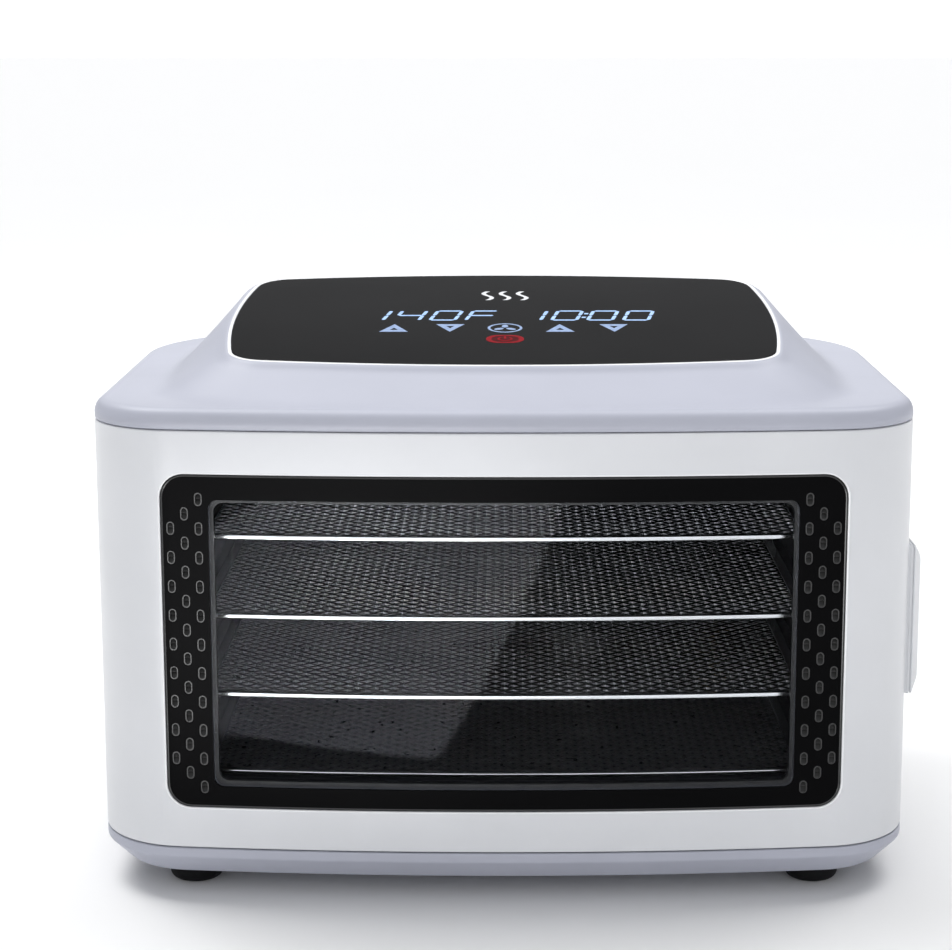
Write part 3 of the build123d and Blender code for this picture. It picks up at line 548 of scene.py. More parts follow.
def plan_half(inset):
    """Right half of the plan outline, from the middle of the front to the middle of the rear."""
    points = []
    for i in range(FRONT_STEPS):
        turn = LEAN * i / FRONT_STEPS
        points.append(((BOW_R - inset) * sin(turn), BOW_CENTRE_Y - (BOW_R - inset) * cos(turn)))
    for i in range(CORNER_STEPS):
        turn = LEAN + (pi / 2 - LEAN) * i / CORNER_STEPS
        reach = FRONT_CORNER_R - inset
        points.append((CORNER_X + reach * sin(turn), CORNER_Y - reach * cos(turn)))
    rear_corner = (SIDE_X - REAR_CORNER_R, REAR_Y - REAR_CORNER_R)
    for i in range(SIDE_STEPS):
        points.append((SIDE_X - inset, CORNER_Y + (rear_corner[1] - CORNER_Y) * i / SIDE_STEPS))
    for i in range(REAR_CORNER_STEPS):
        turn = pi / 2 * i / REAR_CORNER_STEPS
        reach = REAR_CORNER_R - inset
        points.append((rear_corner[0] + reach * cos(turn), rear_corner[1] + reach * sin(turn)))
    for i in range(REAR_STEPS + 1):
        points.append((rear_corner[0] * (1 - i / REAR_STEPS), REAR_Y - inset))
    return points


def plan_ring(inset, z):
    """The whole plan outline, drawn in by inset, at height z."""
    right = plan_half(inset)
    return [(x, y, z) for x, y in right + [(-x, y) for x, y in reversed(right[1:-1])]]


# ---------------------------------------------------------------- bowed oblongs of the lid


ARC_POINTS = 160


def oblong_reach(half_x, half_y, side_bow, end_bow, corner_r):
    """Distance to a bowed oblong's edge, as a function of the direction from its middle."""
    x, y = half_x - side_bow, half_y - end_bow
    end_r = (x * x + end_bow**2) / (2 * end_bow)
    side_r = (y * y + side_bow**2) / (2 * side_bow)
    end_centre = Vector((0, half_y - end_r))
    side_centre = Vector((half_x - side_r, 0))
    # the corner's centre is where both bows, drawn in by the corner's radius, cross
    apart = side_centre - end_centre
    near, far = end_r - corner_r, side_r - corner_r
    along = (near**2 - far**2 + apart.length_squared) / (2 * apart.length)
    across = sqrt(near**2 - along**2)
    unit = apart.normalized()
    centre = max(
        (end_centre + unit * along + Vector((-unit.y, unit.x)) * side * across for side in (-1, 1)),
        key=lambda point: point.x + point.y,
    )
    start = atan2(*reversed(centre - side_centre))
    stop = atan2(*reversed(centre - end_centre))
    points = []
    for middle, radius, first, last in (
        (side_centre, side_r, 0, start),
        (centre, corner_r, start, stop),
        (end_centre, end_r, stop, pi / 2),
    ):
        for turn in np.linspace(first, last, ARC_POINTS):
            points.append((middle.x + radius * cos(turn), middle.y + radius * sin(turn)))
    points = np.array(points)
    turns = np.arctan2(points[:, 1], points[:, 0])
    reaches = np.hypot(points[:, 0], points[:, 1])
    return lambda turn: float(np.interp(atan2(abs(sin(turn)), abs(cos(turn))), turns, reaches))


def rectangle_reach(half_x, half_y, corner_r):
    """Distance to a round-cornered rectangle's edge, as a function of the direction."""

    def reach(turn):
        c, s = abs(cos(turn)), abs(sin(turn))
        straight = min(half_x / max(c, 1e-9), half_y / max(s, 1e-9))
        x, y = straight * c, straight * s
        corner = (half_x - corner_r, half_y - corner_r)
        if x < corner[0] or y < corner[1]:
            return straight
        along = c * corner[0] + s * corner[1]
        return along + sqrt(max(corner_r**2 - (corner[0] ** 2 + corner[1] ** 2 - along**2), 0))

    return reach


def on_panel(u, v, height=0.0):
    """A point of the tilted panel plane, raised by height."""
    return (
        u,
        PANEL_MID[0] + v * cos(PANEL_TILT) - height * sin(PANEL_TILT),
        PANEL_MID[1] + v * sin(PANEL_TILT) + height * cos(PANEL_TILT),
    )


# half width, half length and corner radius
BOARD_OPENING = (75.0, 48.0, 6.0)

PLAN = plan_ring(0, 0)
FOOT_TURNS = [atan2(y - HUMP_FOOT_Y, x) for x, y, _ in PLAN]
PANEL_TURNS = [atan2(y - PANEL_MID[0], x) for x, y, _ in PLAN]


def foot_ring(inset, z):
    """The line where the lid starts to rise."""
    half_x, half_y, side_bow, end_bow, corner_r = HUMP_FOOT
    reach = oblong_reach(half_x - inset, half_y - inset, side_bow, end_bow, corner_r - inset)
    return [(reach(t) * cos(t), HUMP_FOOT_Y + reach(t) * sin(t), z) for t in FOOT_TURNS]


def panel_ring(grow, height):
    """The panel's outline, larger all round by grow, at a height over its top face."""
    reach = oblong_reach(
        PANEL_HALF_W + grow, PANEL_HALF_L + grow, PANEL_SIDE_BOW, PANEL_END_BOW, PANEL_R + grow
    )
    return [on_panel(reach(t) * cos(t), reach(t) * sin(t), height) for t in PANEL_TURNS]


def board_opening(height):
    """The opening under the glass."""
    reach = rectangle_reach(*BOARD_OPENING)
    return [on_panel(reach(t) * cos(t), reach(t) * sin(t), height) for t in PANEL_TURNS]


def flare(foot, top, steps, easing=0.34):
    """Rings between two rings that rise slowly at first and then evenly."""
    rings = []
    for step in range(1, steps):
        share = step / steps
        if share < easing:
            rise = share * share / (2 * easing)
        else:
            rise = share - easing / 2
        rise /= 1 - easing / 2
        ring = []
        for low, high in zip(foot, top):
            x, y, _ = lerp(low, high, share)
            ring.append((x, y, low[2] + (high[2] - low[2]) * rise))
        rings.append(ring)
    return rings


# how far each ring is drawn in, and its height over the body or the shoulder
LID_BAND = (
    (0.35, 0.0),
    (0.0, 0.4),
    (0.0, 2.6),
    (0.25, 3.6),
    (0.7, 4.8),
    (1.35, 5.8),
    (2.1, 6.45),
    (2.9, 6.85),
)
LID_SHOULDER_EDGE = ((3.5, -0.25), (4.3, -0.08), (5.4, -0.02))
# how far each ring stands outside the glass, and its height over it
CREST = (PANEL_RIM + 3.2, -2.2)
RIM = (
    (PANEL_RIM + 2.0, -1.25),
    (PANEL_RIM + 1.1, -0.62),
    (PANEL_RIM + 0.35, -0.2),
    (PANEL_RIM - 0.1, -0.3),
    (PANEL_FIT + 0.1, -0.4),
    (PANEL_FIT, -0.25),
    (PANEL_FIT, -PANEL_T),
)
RISE_STEPS, UNDER_STEPS = 14, 7


def top_lid():
    """The lid: band, shoulder, concave rise to the panel's rim, recess and underside."""
    band = [plan_ring(inset, BODY_TOP + rise) for inset, rise in LID_BAND]
    band += [plan_ring(inset, LID_SHOULDER + rise) for inset, rise in LID_SHOULDER_EDGE]
    edge = band[-1]
    foot = foot_ring(0, LID_SHOULDER)
    shoulder = [[lerp(a, b, share) for a, b in zip(edge, foot)] for share in (0.3, 0.6, 0.85)]
    crest = panel_ring(*CREST)
    rise = [foot] + flare(foot, crest, RISE_STEPS) + [crest]
    rim = [panel_ring(grow, height) for grow, height in RIM]
    rim += [board_opening(-PANEL_T), board_opening(-PANEL_T - LID_SKIN)]
    inner_crest = panel_ring(PANEL_RIM - 1.4, -PANEL_T - LID_SKIN)
    inner_foot = foot_ring(1.5, LID_SHOULDER - LID_SKIN)
    inner_rise = flare(inner_foot, inner_crest, UNDER_STEPS)
    under = [inner_crest] + inner_rise[::-1] + [inner_foot]
    wall = [plan_ring(LID_WALL, LID_SHOULDER - LID_SKIN), plan_ring(LID_WALL, BODY_TOP)]
    return skin(band + shoulder + rise + rim + under + wall, cycle=True)


def prism(outline, low, high):
    """A plate with this outline in plan, between two heights."""
    return skin([[(x, y, z) for x, y in outline] for z in (low, high)], capped=True)


def lid_deck():
    """The lid's floor over the door."""
    right = [(x, y) for x, y in plan_half(LID_WALL) if y < BULKHEAD_FRONT]
    right.append((SIDE_X - LID_WALL, BULKHEAD_FRONT))
    left = [(-x, y) for x, y in reversed(right[1:])]
    return prism(right + left, BODY_TOP, BODY_TOP + LID_SKIN)


MARK_T = 0.06


def panel_prism(outline, low=0.0, high=MARK_T):
    """A thin raised mark on the panel, from points in its plane."""
    return skin(
        [[on_panel(u, v, low) for u, v in outline], [on_panel(u, v, high) for u, v in outline]],
        capped=True,
    )


piece(
    "lid_shell", *top_lid(), body="cabinet", slot="lavender_trim", stands_for=["top_lid"], sharp=50
)
piece("lid_front_deck", *lid_deck(), body="cabinet", slot="lavender_trim")

# ---------------------------------------------------------------- marks on the panel

DIGIT_W, DIGIT_H, DIGIT_STROKE, DIGIT_SLANT = 9.6, 14.0, 1.45, 0.2
DIGIT_GAP = 0.18
DIGIT_PITCH = 14.0
DIGIT_BASE = -5.2
DOT_HALF_W, DOT_HALF_H = 0.8, 0.9
GROUPS = ((-56.9, "140F"), (4.7, "10:00"))
SEGMENTS = {"0": "abcdef", "1": "bc", "4": "bcfg", "F": "aefg"}


def bar(first, second, width):
    """A six-sided bar between two points, pointed at both ends, with a small gap at each."""
    dx, dy = second[0] - first[0], second[1] - first[1]
    length = hypot(dx, dy)
    ux, uy = dx / length, dy / length
    half, gap = width / 2, DIGIT_GAP
    local = [
        (gap, 0),
        (gap + half, -half),
        (length - gap - half, -half),
        (length - gap, 0),
        (length - gap - half, half),
        (gap + half, half),
    ]
    return [(first[0] + a * ux - b * uy, first[1] + a * uy + b * ux) for a, b in local]


def slanted(outline, base):
    """An outline leaned to the right, from its base line up."""
    return [(u + (v - base) * DIGIT_SLANT, v) for u, v in outline]


def digit(character, left):
    """The lit bars of one seven-segment character."""
    right, middle, top = left + DIGIT_W, DIGIT_BASE + DIGIT_H / 2, DIGIT_BASE + DIGIT_H
    ends = {
        "a": ((left, top), (right, top)),
        "b": ((right, middle), (right, top)),
        "c": ((right, DIGIT_BASE), (right, middle)),
        "d": ((left, DIGIT_BASE), (right, DIGIT_BASE)),
        "e": ((left, DIGIT_BASE), (left, middle)),
        "f": ((left, middle), (left, top)),
        "g": ((left, middle), (right, middle)),
    }
    bars = [bar(*ends[segment], DIGIT_STROKE) for segment in SEGMENTS[character]]
    return [panel_prism(slanted(outline, DIGIT_BASE)) for outline in bars]


def dot(u, v):
    """One dot of the colon."""
    return [
        (u - DOT_HALF_W, v - DOT_HALF_H),
        (u + DOT_HALF_W, v - DOT_HALF_H),
        (u + DOT_HALF_W, v + DOT_HALF_H),
        (u - DOT_HALF_W, v + DOT_HALF_H),
    ]


def display():
    """Temperature and time."""
    parts = []
    for start, text in GROUPS:
        place = start
        for character in text:
            if character == ":":
                for v in (DIGIT_BASE + DIGIT_H * 0.3, DIGIT_BASE + DIGIT_H * 0.7):
                    u = place - (DIGIT_PITCH - DIGIT_W) / 2
                    parts.append(panel_prism(slanted(dot(u, v), DIGIT_BASE)))
                continue
            parts.extend(digit(character, place))
            place += DIGIT_PITCH
    return joined(parts)


def circle(u, v, radius, steps=40):
    """Points round a circle."""
    turns = [2 * pi * i / steps for i in range(steps)]
    return [(u + radius * cos(turn), v + radius * sin(turn)) for turn in turns]


def ring_mark(outer, inner):
    """A flat raised band between two outlines with the same number of points."""
    rings = [
        [on_panel(u, v, 0.0) for u, v in outer],
        [on_panel(u, v, MARK_T) for u, v in outer],
        [on_panel(u, v, MARK_T) for u, v in inner],
        [on_panel(u, v, 0.0) for u, v in inner],
    ]
    return skin(rings, cycle=True)


KEY_V = -17.2
KEY_W, KEY_H = 11.0, 11.2
KEY_US = {"up": (-42.4, 21.6), "down": (-20.8, 42.5)}
KEY_HOLE = 0.3
MODE_U, MODE_R, MODE_STROKE = 0.4, 6.7, 1.0
BLADES, BLADE_POINTS = 3, 20
BLADE_OUT, BLADE_HALF_L, BLADE_HALF_W = 2.7, 2.0, 1.25
POWER_V = -33.3
POWER_OUTER, POWER_INNER = (7.2, 5.6, 5.2), (5.2, 4.4, 4.0)
POWER_FACE_T, POWER_SYMBOL_T = 0.03, 0.09
POWER_ARC_R, POWER_ARC_INNER_R = 2.9, 2.1
POWER_BAR_HALF_W, POWER_BAR_L = 0.4, 3.6
WAVE_PITCH, WAVE_SWING, WAVE_HALF_W = 7.0, 1.7, 0.9
WAVE_BASE, WAVE_L = 26.5, 14.0


def triangle(u, v, width, height, down):
    """An arrow head that points up or down."""
    sign = -1 if down else 1
    return [
        (u - sign * width / 2, v - sign * height / 2),
        (u + sign * width / 2, v - sign * height / 2),
        (u, v + sign * height / 2),
    ]


def key_marks():
    """Two pairs of arrow keys, and the mode key's ring with a fan in it."""
    parts = []
    for name, places in KEY_US.items():
        for u in places:
            outer = triangle(u, KEY_V, KEY_W, KEY_H, name == "down")
            middle_v = KEY_V + (KEY_H / 6 if name == "down" else -KEY_H / 6)
            inner = [lerp((u, middle_v), point, KEY_HOLE) for point in outer]
            parts.append(ring_mark(outer, inner))
    outer, inner = circle(MODE_U, KEY_V, MODE_R), circle(MODE_U, KEY_V, MODE_R - MODE_STROKE)
    parts.append(ring_mark(outer, inner))
    for blade in range(BLADES):
        lean = pi / 2 + blade * 2 * pi / BLADES
        outline = []
        for i in range(BLADE_POINTS):
            turn = 2 * pi * i / BLADE_POINTS
            along = BLADE_OUT + BLADE_HALF_L * cos(turn)
            across = BLADE_HALF_W * sin(turn)
            u = MODE_U + along * cos(lean) - across * sin(lean)
            outline.append((u, KEY_V + along * sin(lean) + across * cos(lean)))
        parts.append(panel_prism(outline))
    return joined(parts)


def pill(half_u, half_v, radius):
    """A round-cornered rectangle round the power key."""
    return [
        (MODE_U + a + radius * cos(turn), POWER_V + b + radius * sin(turn))
        for a, b, turn in corner_turns(half_u, half_v, radius, 8)
    ]


def power_symbol():
    """An open ring and an upright bar."""
    steps, gap = 28, 0.7
    turns = [pi / 2 + gap + (2 * pi - 2 * gap) * i / steps for i in range(steps + 1)]
    arc = []
    for radius, way in ((POWER_ARC_R, turns), (POWER_ARC_INNER_R, turns[::-1])):
        arc += [(MODE_U + radius * cos(turn), POWER_V + radius * sin(turn)) for turn in way]
    left, right = MODE_U - POWER_BAR_HALF_W, MODE_U + POWER_BAR_HALF_W
    top = POWER_V + POWER_BAR_L
    mark = [(left, POWER_V), (right, POWER_V), (right, top), (left, top)]
    return joined([panel_prism(outline, POWER_FACE_T, POWER_SYMBOL_T) for outline in (arc, mark)])


def heat_waves():
    """Three rising waves, a plain sign for warm air."""
    parts = []
    steps = 24
    for number in range(3):
        middle = MODE_U + (number - 1) * WAVE_PITCH
        line = []
        for i in range(steps + 1):
            share = i / steps
            line.append((middle + WAVE_SWING * sin(2 * pi * share), WAVE_BASE + WAVE_L * share))
        left = [(u - WAVE_HALF_W, v) for u, v in line]
        right = [(u + WAVE_HALF_W, v) for u, v in line]
        parts.append(panel_prism(right + left[::-1]))
    return joined(parts)


piece("display_digits", *display(), body="cabinet", slot="panel_glass", material=LIT_BLUE)
piece("key_symbols", *key_marks(), body="cabinet", slot="panel_glass", material=PRINT_BLUE)
piece(
    "power_key_ring",
    *ring_mark(pill(*POWER_OUTER), pill(*POWER_INNER)),
    body="cabinet",
    slot="panel_glass",
    material=KEY_RED,
)
piece(
    "power_key_face",
    *panel_prism(pill(*POWER_INNER), 0.0, POWER_FACE_T),
    body="cabinet",
    slot="panel_glass",
    material=KEY_DARK_RED,
)
piece("power_key_symbol", *power_symbol(), body="cabinet", slot="panel_glass", material=KEY_RED)
piece("heat_mark", *heat_waves(), body="cabinet", slot="panel_glass", material=PRINT_WHITE)

# ---------------------------------------------------------------- tray meshes

DIAMOND_W, DIAMOND_L = 6.8, 6.4
HOLE_W, HOLE_L = 4.5, 4.0
STRAND_T = 0.8
UNDER_RIM = 1.6


def tray_lattice(low, high):
    """Expanded metal in plan: points and faces of the strands between diamond holes."""
    columns = int((high.x - low.x) / DIAMOND_W) + 3
    rows = int((high.y - low.y) / DIAMOND_L) + 3
    start_x = -DIAMOND_W * (columns // 2)
    middle_y = (low.y + high.y) / 2
    start_y = middle_y - DIAMOND_L * (rows // 2)
    points, faces, known = [], [], {}

    def corner(column, row, side):
        """One corner of a hole; columns and rows count in half steps."""
        key = (column, row, side)
        if key not in known:
            known[key] = len(points)
            x = start_x + column * DIAMOND_W / 2
            y = start_y + row * DIAMOND_L / 2
            x += {"right": HOLE_W / 2, "left": -HOLE_W / 2}.get(side, 0)
            y += {"top": HOLE_L / 2, "bottom": -HOLE_L / 2}.get(side, 0)
            points.append((x, y))
        return known[key]

    def inside(face):
        x = sum(points[i][0] for i in face) / len(face)
        y = sum(points[i][1] for i in face) / len(face)
        front = BOW_CENTRE_Y - sqrt((BOW_CENTRE_Y - low.y + UNDER_RIM) ** 2 - x * x)
        return abs(x) < high.x + UNDER_RIM and front < y < high.y + UNDER_RIM

    for column in range(2 * columns):
        for row in range(2 * rows):
            if (column + row) % 2:
                continue
            up = (column + 1, row + 1)
            down = (column + 1, row - 1)
            across = (column + 2, row)
            for face in (
                (
                    corner(column, row, "right"),
                    corner(*up, "bottom"),
                    corner(*up, "left"),
                    corner(column, row, "top"),
                ),
                (
                    corner(column, row, "bottom"),
                    corner(*down, "left"),
                    corner(*down, "top"),
                    corner(column, row, "right"),
                ),
                (
                    corner(column, row, "right"),
                    corner(*down, "top"),
                    corner(*across, "left"),
                    corner(*up, "bottom"),
                ),
            ):
                if inside(face):
                    faces.append(face)
    used = sorted({i for face in faces for i in face})
    new = {old: i for i, old in enumerate(used)}
    return [points[i] for i in used], [tuple(new[i] for i in face) for face in faces]


def thick(points, faces, low, high):
    """A flat net of faces given thickness, with walls along its open edges."""
    count = len(points)
    solid = [(x, y, low) for x, y in points] + [(x, y, high) for x, y in points]
    directed = {(face[i], face[(i + 1) % len(face)]) for face in faces for i in range(len(face))}
    made = [tuple(reversed(face)) for face in faces]
    made += [tuple(i + count for i in face) for face in faces]
    for a, b in sorted(directed):
        if (b, a) not in directed:
            made.append((a, b, b + count, a + count))
    return solid, made


for number, (low, high) in enumerate(TRAY_BOXES, 1):
    middle_z = (low.z + high.z) / 2
    net = tray_lattice(low, high)
    # the mesh takes the darkened copy of the tray steel: painted shade
    piece(
        f"tray_{number}_expanded_mesh",
        *thick(*net, middle_z - STRAND_T / 2, middle_z + STRAND_T / 2),
        body=f"tray_{number}",
        slot="tray_steel",
        material=SHADED_MESH_STEEL,
        stands_for=[f"tray_{number}_mesh"],
        sharp=30,
    )

# ---------------------------------------------------------------- feet

FOOT_STEPS = 48
FOOT_ROUND_R, FOOT_ROUND_STEPS = 3.4, 6
FOOT_BORE_R, FOOT_WELL_R, FOOT_WELL_H = 1.6, 4.2, 4.0


def lathe(profile, x, y):
    """A closed profile of (radius, height) turned about an upright axis."""
    turns = [2 * pi * i / FOOT_STEPS for i in range(FOOT_STEPS)]
    rings = [[(x + r * cos(turn), y + r * sin(turn), z) for turn in turns] for r, z in profile]
    return skin(rings, cycle=True)


def foot_profile(low, high):
    """Hollow rubber foot with a well rounded lower edge."""
    radius, top = (high.x - low.x) / 2, high.z
    profile = [(FOOT_BORE_R, top), (radius - 0.3, top), (radius, top - 0.3)]
    profile.append((radius - 0.15, FOOT_ROUND_R + 1.0))
    for step in range(FOOT_ROUND_STEPS + 1):
        turn = pi / 2 * step / FOOT_ROUND_STEPS
        reach = radius - 0.25 - FOOT_ROUND_R * (1 - cos(turn))
        profile.append((reach, FOOT_ROUND_R * (1 - sin(turn))))
    profile += [(FOOT_WELL_R + 0.3, 0.0), (FOOT_WELL_R, 0.3)]
    profile += [(FOOT_WELL_R, FOOT_WELL_H), (FOOT_BORE_R, FOOT_WELL_H)]
    return profile


for place in ("front_left", "front_right", "rear_left", "rear_right"):
    low, high = box_mm(f"foot_{place}")
    piece(
        f"rubber_foot_{place}",
        *lathe(foot_profile(low, high), (low.x + high.x) / 2, (low.y + high.y) / 2),
        body="cabinet",
        slot="foot_rubber",
        stands_for=[f"foot_{place}"],
        sharp=40,
    )

# ---------------------------------------------------------------- side grip

GRIP_LOW, GRIP_HIGH = box_mm("door_grip")
SEAM_FRONT = box_mm("door_shell")[1].y
GRIP_CLEAR = 0.6


def upright_ring(x, inset, radius, low_y, high_y):
    """A round-cornered rectangle that stands across X, inside the grip's outline."""
    half_y, half_z = (high_y - low_y) / 2 - inset, (GRIP_HIGH.z - GRIP_LOW.z) / 2 - inset
    middle_y, middle_z = (high_y + low_y) / 2, (GRIP_HIGH.z + GRIP_LOW.z) / 2
    return [
        (x, middle_y + a + radius * cos(turn), middle_z + b + radius * sin(turn))
        for a, b, turn in corner_turns(half_y, half_z, radius, 6)
    ]


# distance out from the foot of the grip, or in from its top, then the inset and the corner radius
GRIP_FLANGE = (
    (0.0, 0.15, 1.2),
    (0.1, 0.0, 1.3),
    (0.65, 0.0, 1.3),
    (0.8, 0.15, 1.2),
    (0.8, 0.8, 1.0),
    (1.3, 0.8, 1.0),
    (1.3, 0.35, 1.2),
    (1.45, 0.2, 1.3),
    (1.9, 0.25, 1.3),
)
GRIP_PULL = (
    (0.75, 3.6, 1.6),
    (0.3, 4.4, 1.7),
    (0.05, 5.1, 1.7),
    (0.0, 5.6, 1.7),
    (0.1, 6.5, 1.5),
    (0.55, 8.4, 1.2),
)
GRIP_BLOCK_INSET, GRIP_BLOCK_R = 0.3, 0.8


def grip():
    """Flange, groove and a chamfered, slightly dished pull, with its fixing block on the door."""
    foot_x, top_x = SIDE_X + GRIP_CLEAR, GRIP_HIGH.x
    reach = (GRIP_LOW.y, GRIP_HIGH.y)
    pull = [upright_ring(foot_x + out, inset, r, *reach) for out, inset, r in GRIP_FLANGE]
    pull += [upright_ring(top_x - back, inset, r, *reach) for back, inset, r in GRIP_PULL]
    block_reach = (GRIP_LOW.y, SEAM_FRONT - 0.3)
    block = [
        upright_ring(x, GRIP_BLOCK_INSET, GRIP_BLOCK_R, *block_reach)
        for x in (SIDE_X - 1.6, foot_x + 0.05)
    ]
    return joined([skin(pull, capped=True), skin(block, capped=True)])


piece("side_grip", *grip(), body="door", slot="white_shell", stands_for=["door_grip"], sharp=32)

# ---------------------------------------------------------------- painted highlight line round the panel


# how far each ring stands outside the glass, and its height over it
PANEL_HIGHLIGHT_LINE = ((0.25, -0.5), (0.25, -0.2), (0.5, -0.03), (1.0, -0.02), (1.4, -0.16), (1.5, -0.5))


def panel_highlight_line():
    """A low rounded bead between the glass and the lid's rim, in a whiter material than the lid: a
    painted highlight along the rim.
    """
    return skin([panel_ring(grow, height) for grow, height in PANEL_HIGHLIGHT_LINE], cycle=True)


# the bead is white although the lid is lavender: a painted highlight round the glass
piece("panel_highlight_line", *panel_highlight_line(), body="cabinet", slot="lavender_trim", material=HIGHLIGHT_WHITE)

# ---------------------------------------------------------------- door frame edges and vents

FRAME_HALF_W, FRAME_HALF_H, FRAME_R = 122.3, 61.5, 8.5
FRAME_Z = 97.9
FRAME_DEPTH = 0.5
OPENING_FIT = 0.2
VENT_HALF_W, VENT_HALF_H = 1.45, 2.45
VENT_X, VENT_Z = 108.7, 97.2
VENT_STEP, VENT_PITCH, VENT_COLUMNS, VENT_ROWS = 5.1, 10.65, 3, 11
LIP_R, LIP_INSET, LIP_DEPTH = 0.3, 0.25, FRAME_DEPTH + 0.4
SLAT_HALF_W, SLAT_HALF_RISE, SLAT_T = 1.3, 0.75, 0.3
SLAT_NEAR, SLAT_FAR = FRAME_DEPTH + 0.9, FRAME_DEPTH + 2.3
SLAT_SHIFTS = (-1.15, 1.0)
OPENING_BEAD_R, OPENING_BEAD_OUT = 0.4, OPENING_FIT + 0.38
FRAME_BEAD_R, FRAME_BEAD_IN, FRAME_BEAD_DEPTH = 0.45, 0.4, FRAME_DEPTH + 0.25


def bow_y(x, depth):
    """Y of the bowed front at x, this far behind the front surface."""
    return BOW_CENTRE_Y - sqrt((BOW_R - depth) ** 2 - x**2)


def bead(centre_x, centre_z, half_w, half_h, corner_r, depth, radius, steps=8, sides=8):
    """A round bead that follows a round-cornered rectangle on the bowed front."""
    rings = []
    for a, b, turn in corner_turns(half_w, half_h, corner_r, steps):
        ring = []
        for side in range(sides):
            round_turn = 2 * pi * side / sides
            reach = corner_r + radius * cos(round_turn)
            x = centre_x + a + reach * cos(turn)
            y = bow_y(x, depth + radius * sin(round_turn))
            ring.append((x, y, centre_z + b + reach * sin(turn)))
        rings.append(ring)
    return skin(bowed_runs(rings), cycle=True)


def bowed_runs(rings, run=12.0):
    """Adds rings along a bead's long straight runs, so that it follows the bow."""
    filled = []
    for first, second in zip(rings, rings[1:] + rings[:1]):
        filled.append(first)
        parts = int(abs(second[0][0] - first[0][0]) // run) + 1
        for part in range(1, parts):
            ring = []
            for start, end in zip(first, second):
                x = start[0] + (end[0] - start[0]) * part / parts
                depth = BOW_R - hypot(BOW_CENTRE_Y - start[1], start[0])
                ring.append((x, bow_y(x, depth), start[2] + (end[2] - start[2]) * part / parts))
            filled.append(ring)
    return filled


def vents():
    """Centres of the frame's vents."""
    centres = []
    for side in (-1, 1):
        for column in range(VENT_COLUMNS):
            rows = VENT_ROWS - column
            for row in range(rows):
                z = VENT_Z + (row - (rows - 1) / 2) * VENT_PITCH
                centres.append((side * (VENT_X + column * VENT_STEP), z))
    return centres


def vent_highlight_lips():
    """A thin rounded lip just inside the mouth of each vent; its grey, lighter than the frame, is a
    painted highlight.
    """
    half_w, half_h = VENT_HALF_W - LIP_INSET, VENT_HALF_H - LIP_INSET
    return joined([bead(x, z, half_w, half_h, half_w, LIP_DEPTH, LIP_R, 5, 6) for x, z in vents()])


def slat(x, z):
    """A slanted slat across a vent, lower at the front."""
    points = []
    for drop in (0.0, SLAT_T):
        for corner_x, depth, rise in (
            (-SLAT_HALF_W, SLAT_NEAR, -SLAT_HALF_RISE),
            (SLAT_HALF_W, SLAT_NEAR, -SLAT_HALF_RISE),
            (SLAT_HALF_W, SLAT_FAR, SLAT_HALF_RISE),
            (-SLAT_HALF_W, SLAT_FAR, SLAT_HALF_RISE),
        ):
            points.append((x + corner_x, bow_y(x, depth + drop), z + rise - drop))
    faces = [(0, 1, 2, 3), (7, 6, 5, 4), (4, 5, 1, 0), (5, 6, 2, 1), (6, 7, 3, 2), (7, 4, 0, 3)]
    return points, faces


def vent_slats():
    """Two slats in each vent."""
    return joined([slat(x, z + shift) for x, z in vents() for shift in SLAT_SHIFTS])


def frame_bead(grow, depth, radius):
    """A bead along the frame's outline, larger all round by grow."""
    half_w, half_h = FRAME_HALF_W + grow, FRAME_HALF_H + grow
    return bead(0, FRAME_Z, half_w, half_h, FRAME_R + grow, depth, radius)


# bead round the door's opening in the whiter material: a painted highlight along the opening's edge
piece(
    "opening_highlight_bead",
    *frame_bead(OPENING_BEAD_OUT, OPENING_BEAD_R, OPENING_BEAD_R),
    body="door",
    slot="white_shell",
    material=HIGHLIGHT_WHITE,
)
piece(
    "frame_edge",
    *frame_bead(-FRAME_BEAD_IN, FRAME_BEAD_DEPTH, FRAME_BEAD_R),
    body="door",
    slot="black_frame",
    material=EDGE_BLACK,
)
# lips in the lighter grey: a painted highlight inside the vents
piece("vent_highlight_lips", *vent_highlight_lips(), body="door", slot="black_frame", material=VENT_HIGHLIGHT_GREY)
# slats in the lighter grey: painted light inside the vents
piece("vent_louvres", *vent_slats(), body="door", slot="black_frame", material=LOUVRE_LIT_GREY)

# ---------------------------------------------------------------- floor, light and camera


FLOOR_HALF = 30.0
FLOOR_GLOW, FLOOR_GLOW_REACH = 0.36, (0.3, 1.4)
SOFTBOX = 0.6
LID_MIDDLE = (0, 0, 0.19)
OVERHEAD = 0.35
GLINT_NEAR, GLINT_FAR = (-0.034, -0.3), (0.075, -0.88)
GLINT_WIDTH, GLINT_HEIGHT, GLINT_POWER = 0.34, 0.004, 4.4


def area_light(name, place, aim, width, height, power):
    """A softbox, in metres, turned towards aim."""
    light = bpy.data.lights.new(name, "AREA")
    light.shape = "RECTANGLE"
    light.size, light.size_y = width, height
    light.energy = power
    made = bpy.data.objects.new(name, light)
    made.location = place
    made.rotation_euler = (Vector(aim) - Vector(place)).to_track_quat("-Z", "Y").to_euler()
    bpy.context.scene.collection.objects.link(made)
    return made


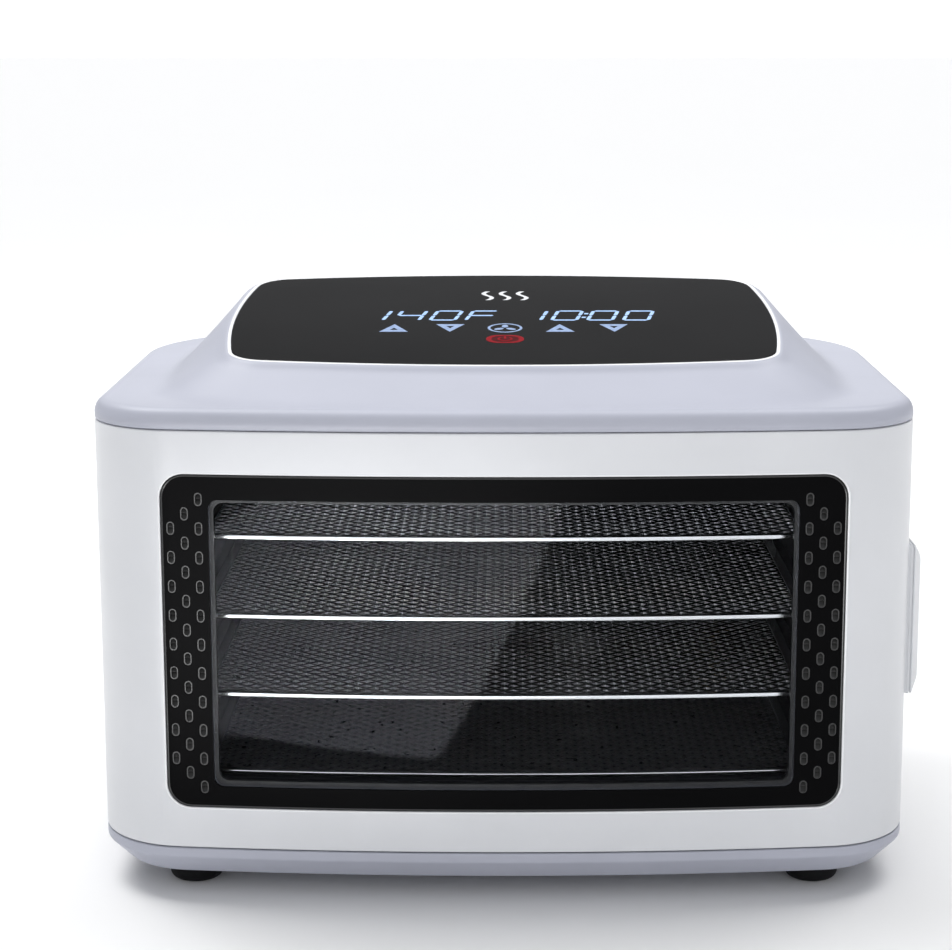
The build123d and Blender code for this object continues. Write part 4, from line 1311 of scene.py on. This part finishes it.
def studio_floor():
    """A wide pale floor, with a faint light of its own away from the object."""
    half = FLOOR_HALF
    mesh = bpy.data.meshes.new("studio_floor")
    corners = [(-half, -half, 0), (half, -half, 0), (half, half, 0), (-half, half, 0)]
    mesh.from_pydata(corners, [], [(0, 1, 2, 3)])
    shader = Shader("studio_floor", Roughness=0.8, Specular_IOR_Level=0.1)
    place = shader.node("ShaderNodeTexCoord")
    distance = shader.node("ShaderNodeVectorMath")
    distance.operation = "LENGTH"
    shader.link(place, "Object", distance, "Vector")
    glow = map_range(shader.tree, distance.outputs["Value"], *FLOOR_GLOW_REACH, 0.0, FLOOR_GLOW)
    shader.feed("Emission Strength", glow)
    tint = shader.blend(shader.noise(2.0, 1.0), (0.98, 0.98, 1.0), (1.0, 1.0, 1.0))
    shader.feed("Emission Color", tint)
    mottle = shader.spread(shader.noise(3.0, 2.0), 0, 1)
    shader.feed("Base Color", shader.blend(mottle, (0.9, 0.9, 0.9), (0.92, 0.92, 0.92)))
    mesh.materials.append(shader.material)
    made = bpy.data.objects.new("studio_floor", mesh)
    bpy.context.scene.collection.objects.link(made)


def studio_world(front, rear, side, horizon):
    """Light from the front, less from elsewhere, and a white band behind the object."""
    world = bpy.data.worlds.new("studio")
    world.use_nodes = True
    tree = world.node_tree
    background = tree.nodes["Background"]
    background.inputs["Color"].default_value = (0.97, 0.98, 1.0, 1)
    direction = tree.nodes.new("ShaderNodeTexCoord")
    parts = tree.nodes.new("ShaderNodeSeparateXYZ")
    tree.links.new(direction.outputs["Generated"], parts.inputs["Vector"])

    def maths(operation, *sources):
        made = tree.nodes.new("ShaderNodeMath")
        made.operation = operation
        for index, source in enumerate(sources):
            tree.links.new(source, made.inputs[index])
        return made.outputs["Value"]

    sideways = maths("ABSOLUTE", parts.outputs["X"])
    around = maths(
        "MULTIPLY",
        map_range(tree, parts.outputs["Y"], -0.2, 0.6, front, rear),
        map_range(tree, sideways, 0.3, 0.95, 1.0, side),
    )
    overhead = map_range(tree, parts.outputs["Z"], 0.3, 0.9, 1.0, OVERHEAD)
    around = maths("MULTIPLY", around, overhead)
    behind = map_range(tree, parts.outputs["Y"], 0.94, 0.975, 0.0, horizon)
    tree.links.new(maths("ADD", around, behind), background.inputs["Strength"])
    bpy.context.scene.world = world


def key_light(strength, elevation, azimuth, width):
    """A broad, distant light from above; azimuth 0 is the front, and -90 the left."""
    light = bpy.data.lights.new("key", "SUN")
    light.energy = strength
    light.angle = radians(width)
    made = bpy.data.objects.new("key", light)
    made.rotation_euler = (radians(90 - elevation), 0, radians(azimuth))
    bpy.context.scene.collection.objects.link(made)


def window_glint():
    """A card that only shows as a hazy reflection on the left of the window."""
    near_x, near_y = GLINT_NEAR
    far_x, far_y = GLINT_FAR
    middle = Vector(((near_x + far_x - GLINT_WIDTH) / 2, (near_y + far_y) / 2, GLINT_HEIGHT))
    above = middle + Vector((0, 0, 1))
    card = area_light("window_glint", middle, above, GLINT_WIDTH, near_y - far_y, GLINT_POWER)
    card.rotation_euler = (pi, 0, atan2(far_x - near_x, near_y - far_y))
    card.visible_camera = False
    card.visible_diffuse = False
    card.visible_transmission = False


studio_floor()
studio_world(front=1.5, rear=0.4, side=0.06, horizon=0.85)
key_light(strength=0.95, elevation=62, azimuth=-150, width=50)
area_light("high_left", (-0.6, 0.25, 1.2), LID_MIDDLE, SOFTBOX, SOFTBOX, power=8)
area_light("high_right", (0.6, 0.25, 1.2), LID_MIDDLE, SOFTBOX, SOFTBOX, power=7)
window_glint()

CAMERA_PLACE = (0.0, -0.9196, 0.31297)
CAMERA_DIP = 10.754
CAMERA_LENS = 87.935
CAMERA_SENSOR = 36.0
CAMERA_SHIFT = -0.0294

camera = bpy.data.cameras.new("camera")
camera.lens = CAMERA_LENS
camera.sensor_width = CAMERA_SENSOR
camera.shift_x = CAMERA_SHIFT
camera.clip_start, camera.clip_end = 0.01, 50.0
camera_object = bpy.data.objects.new("camera", camera)
camera_object.location = CAMERA_PLACE
camera_object.rotation_euler = (radians(90 - CAMERA_DIP), 0, 0)
bpy.context.scene.collection.objects.link(camera_object)
bpy.context.scene.camera = camera_object
bpy.context.scene.view_settings.view_transform = "Standard"
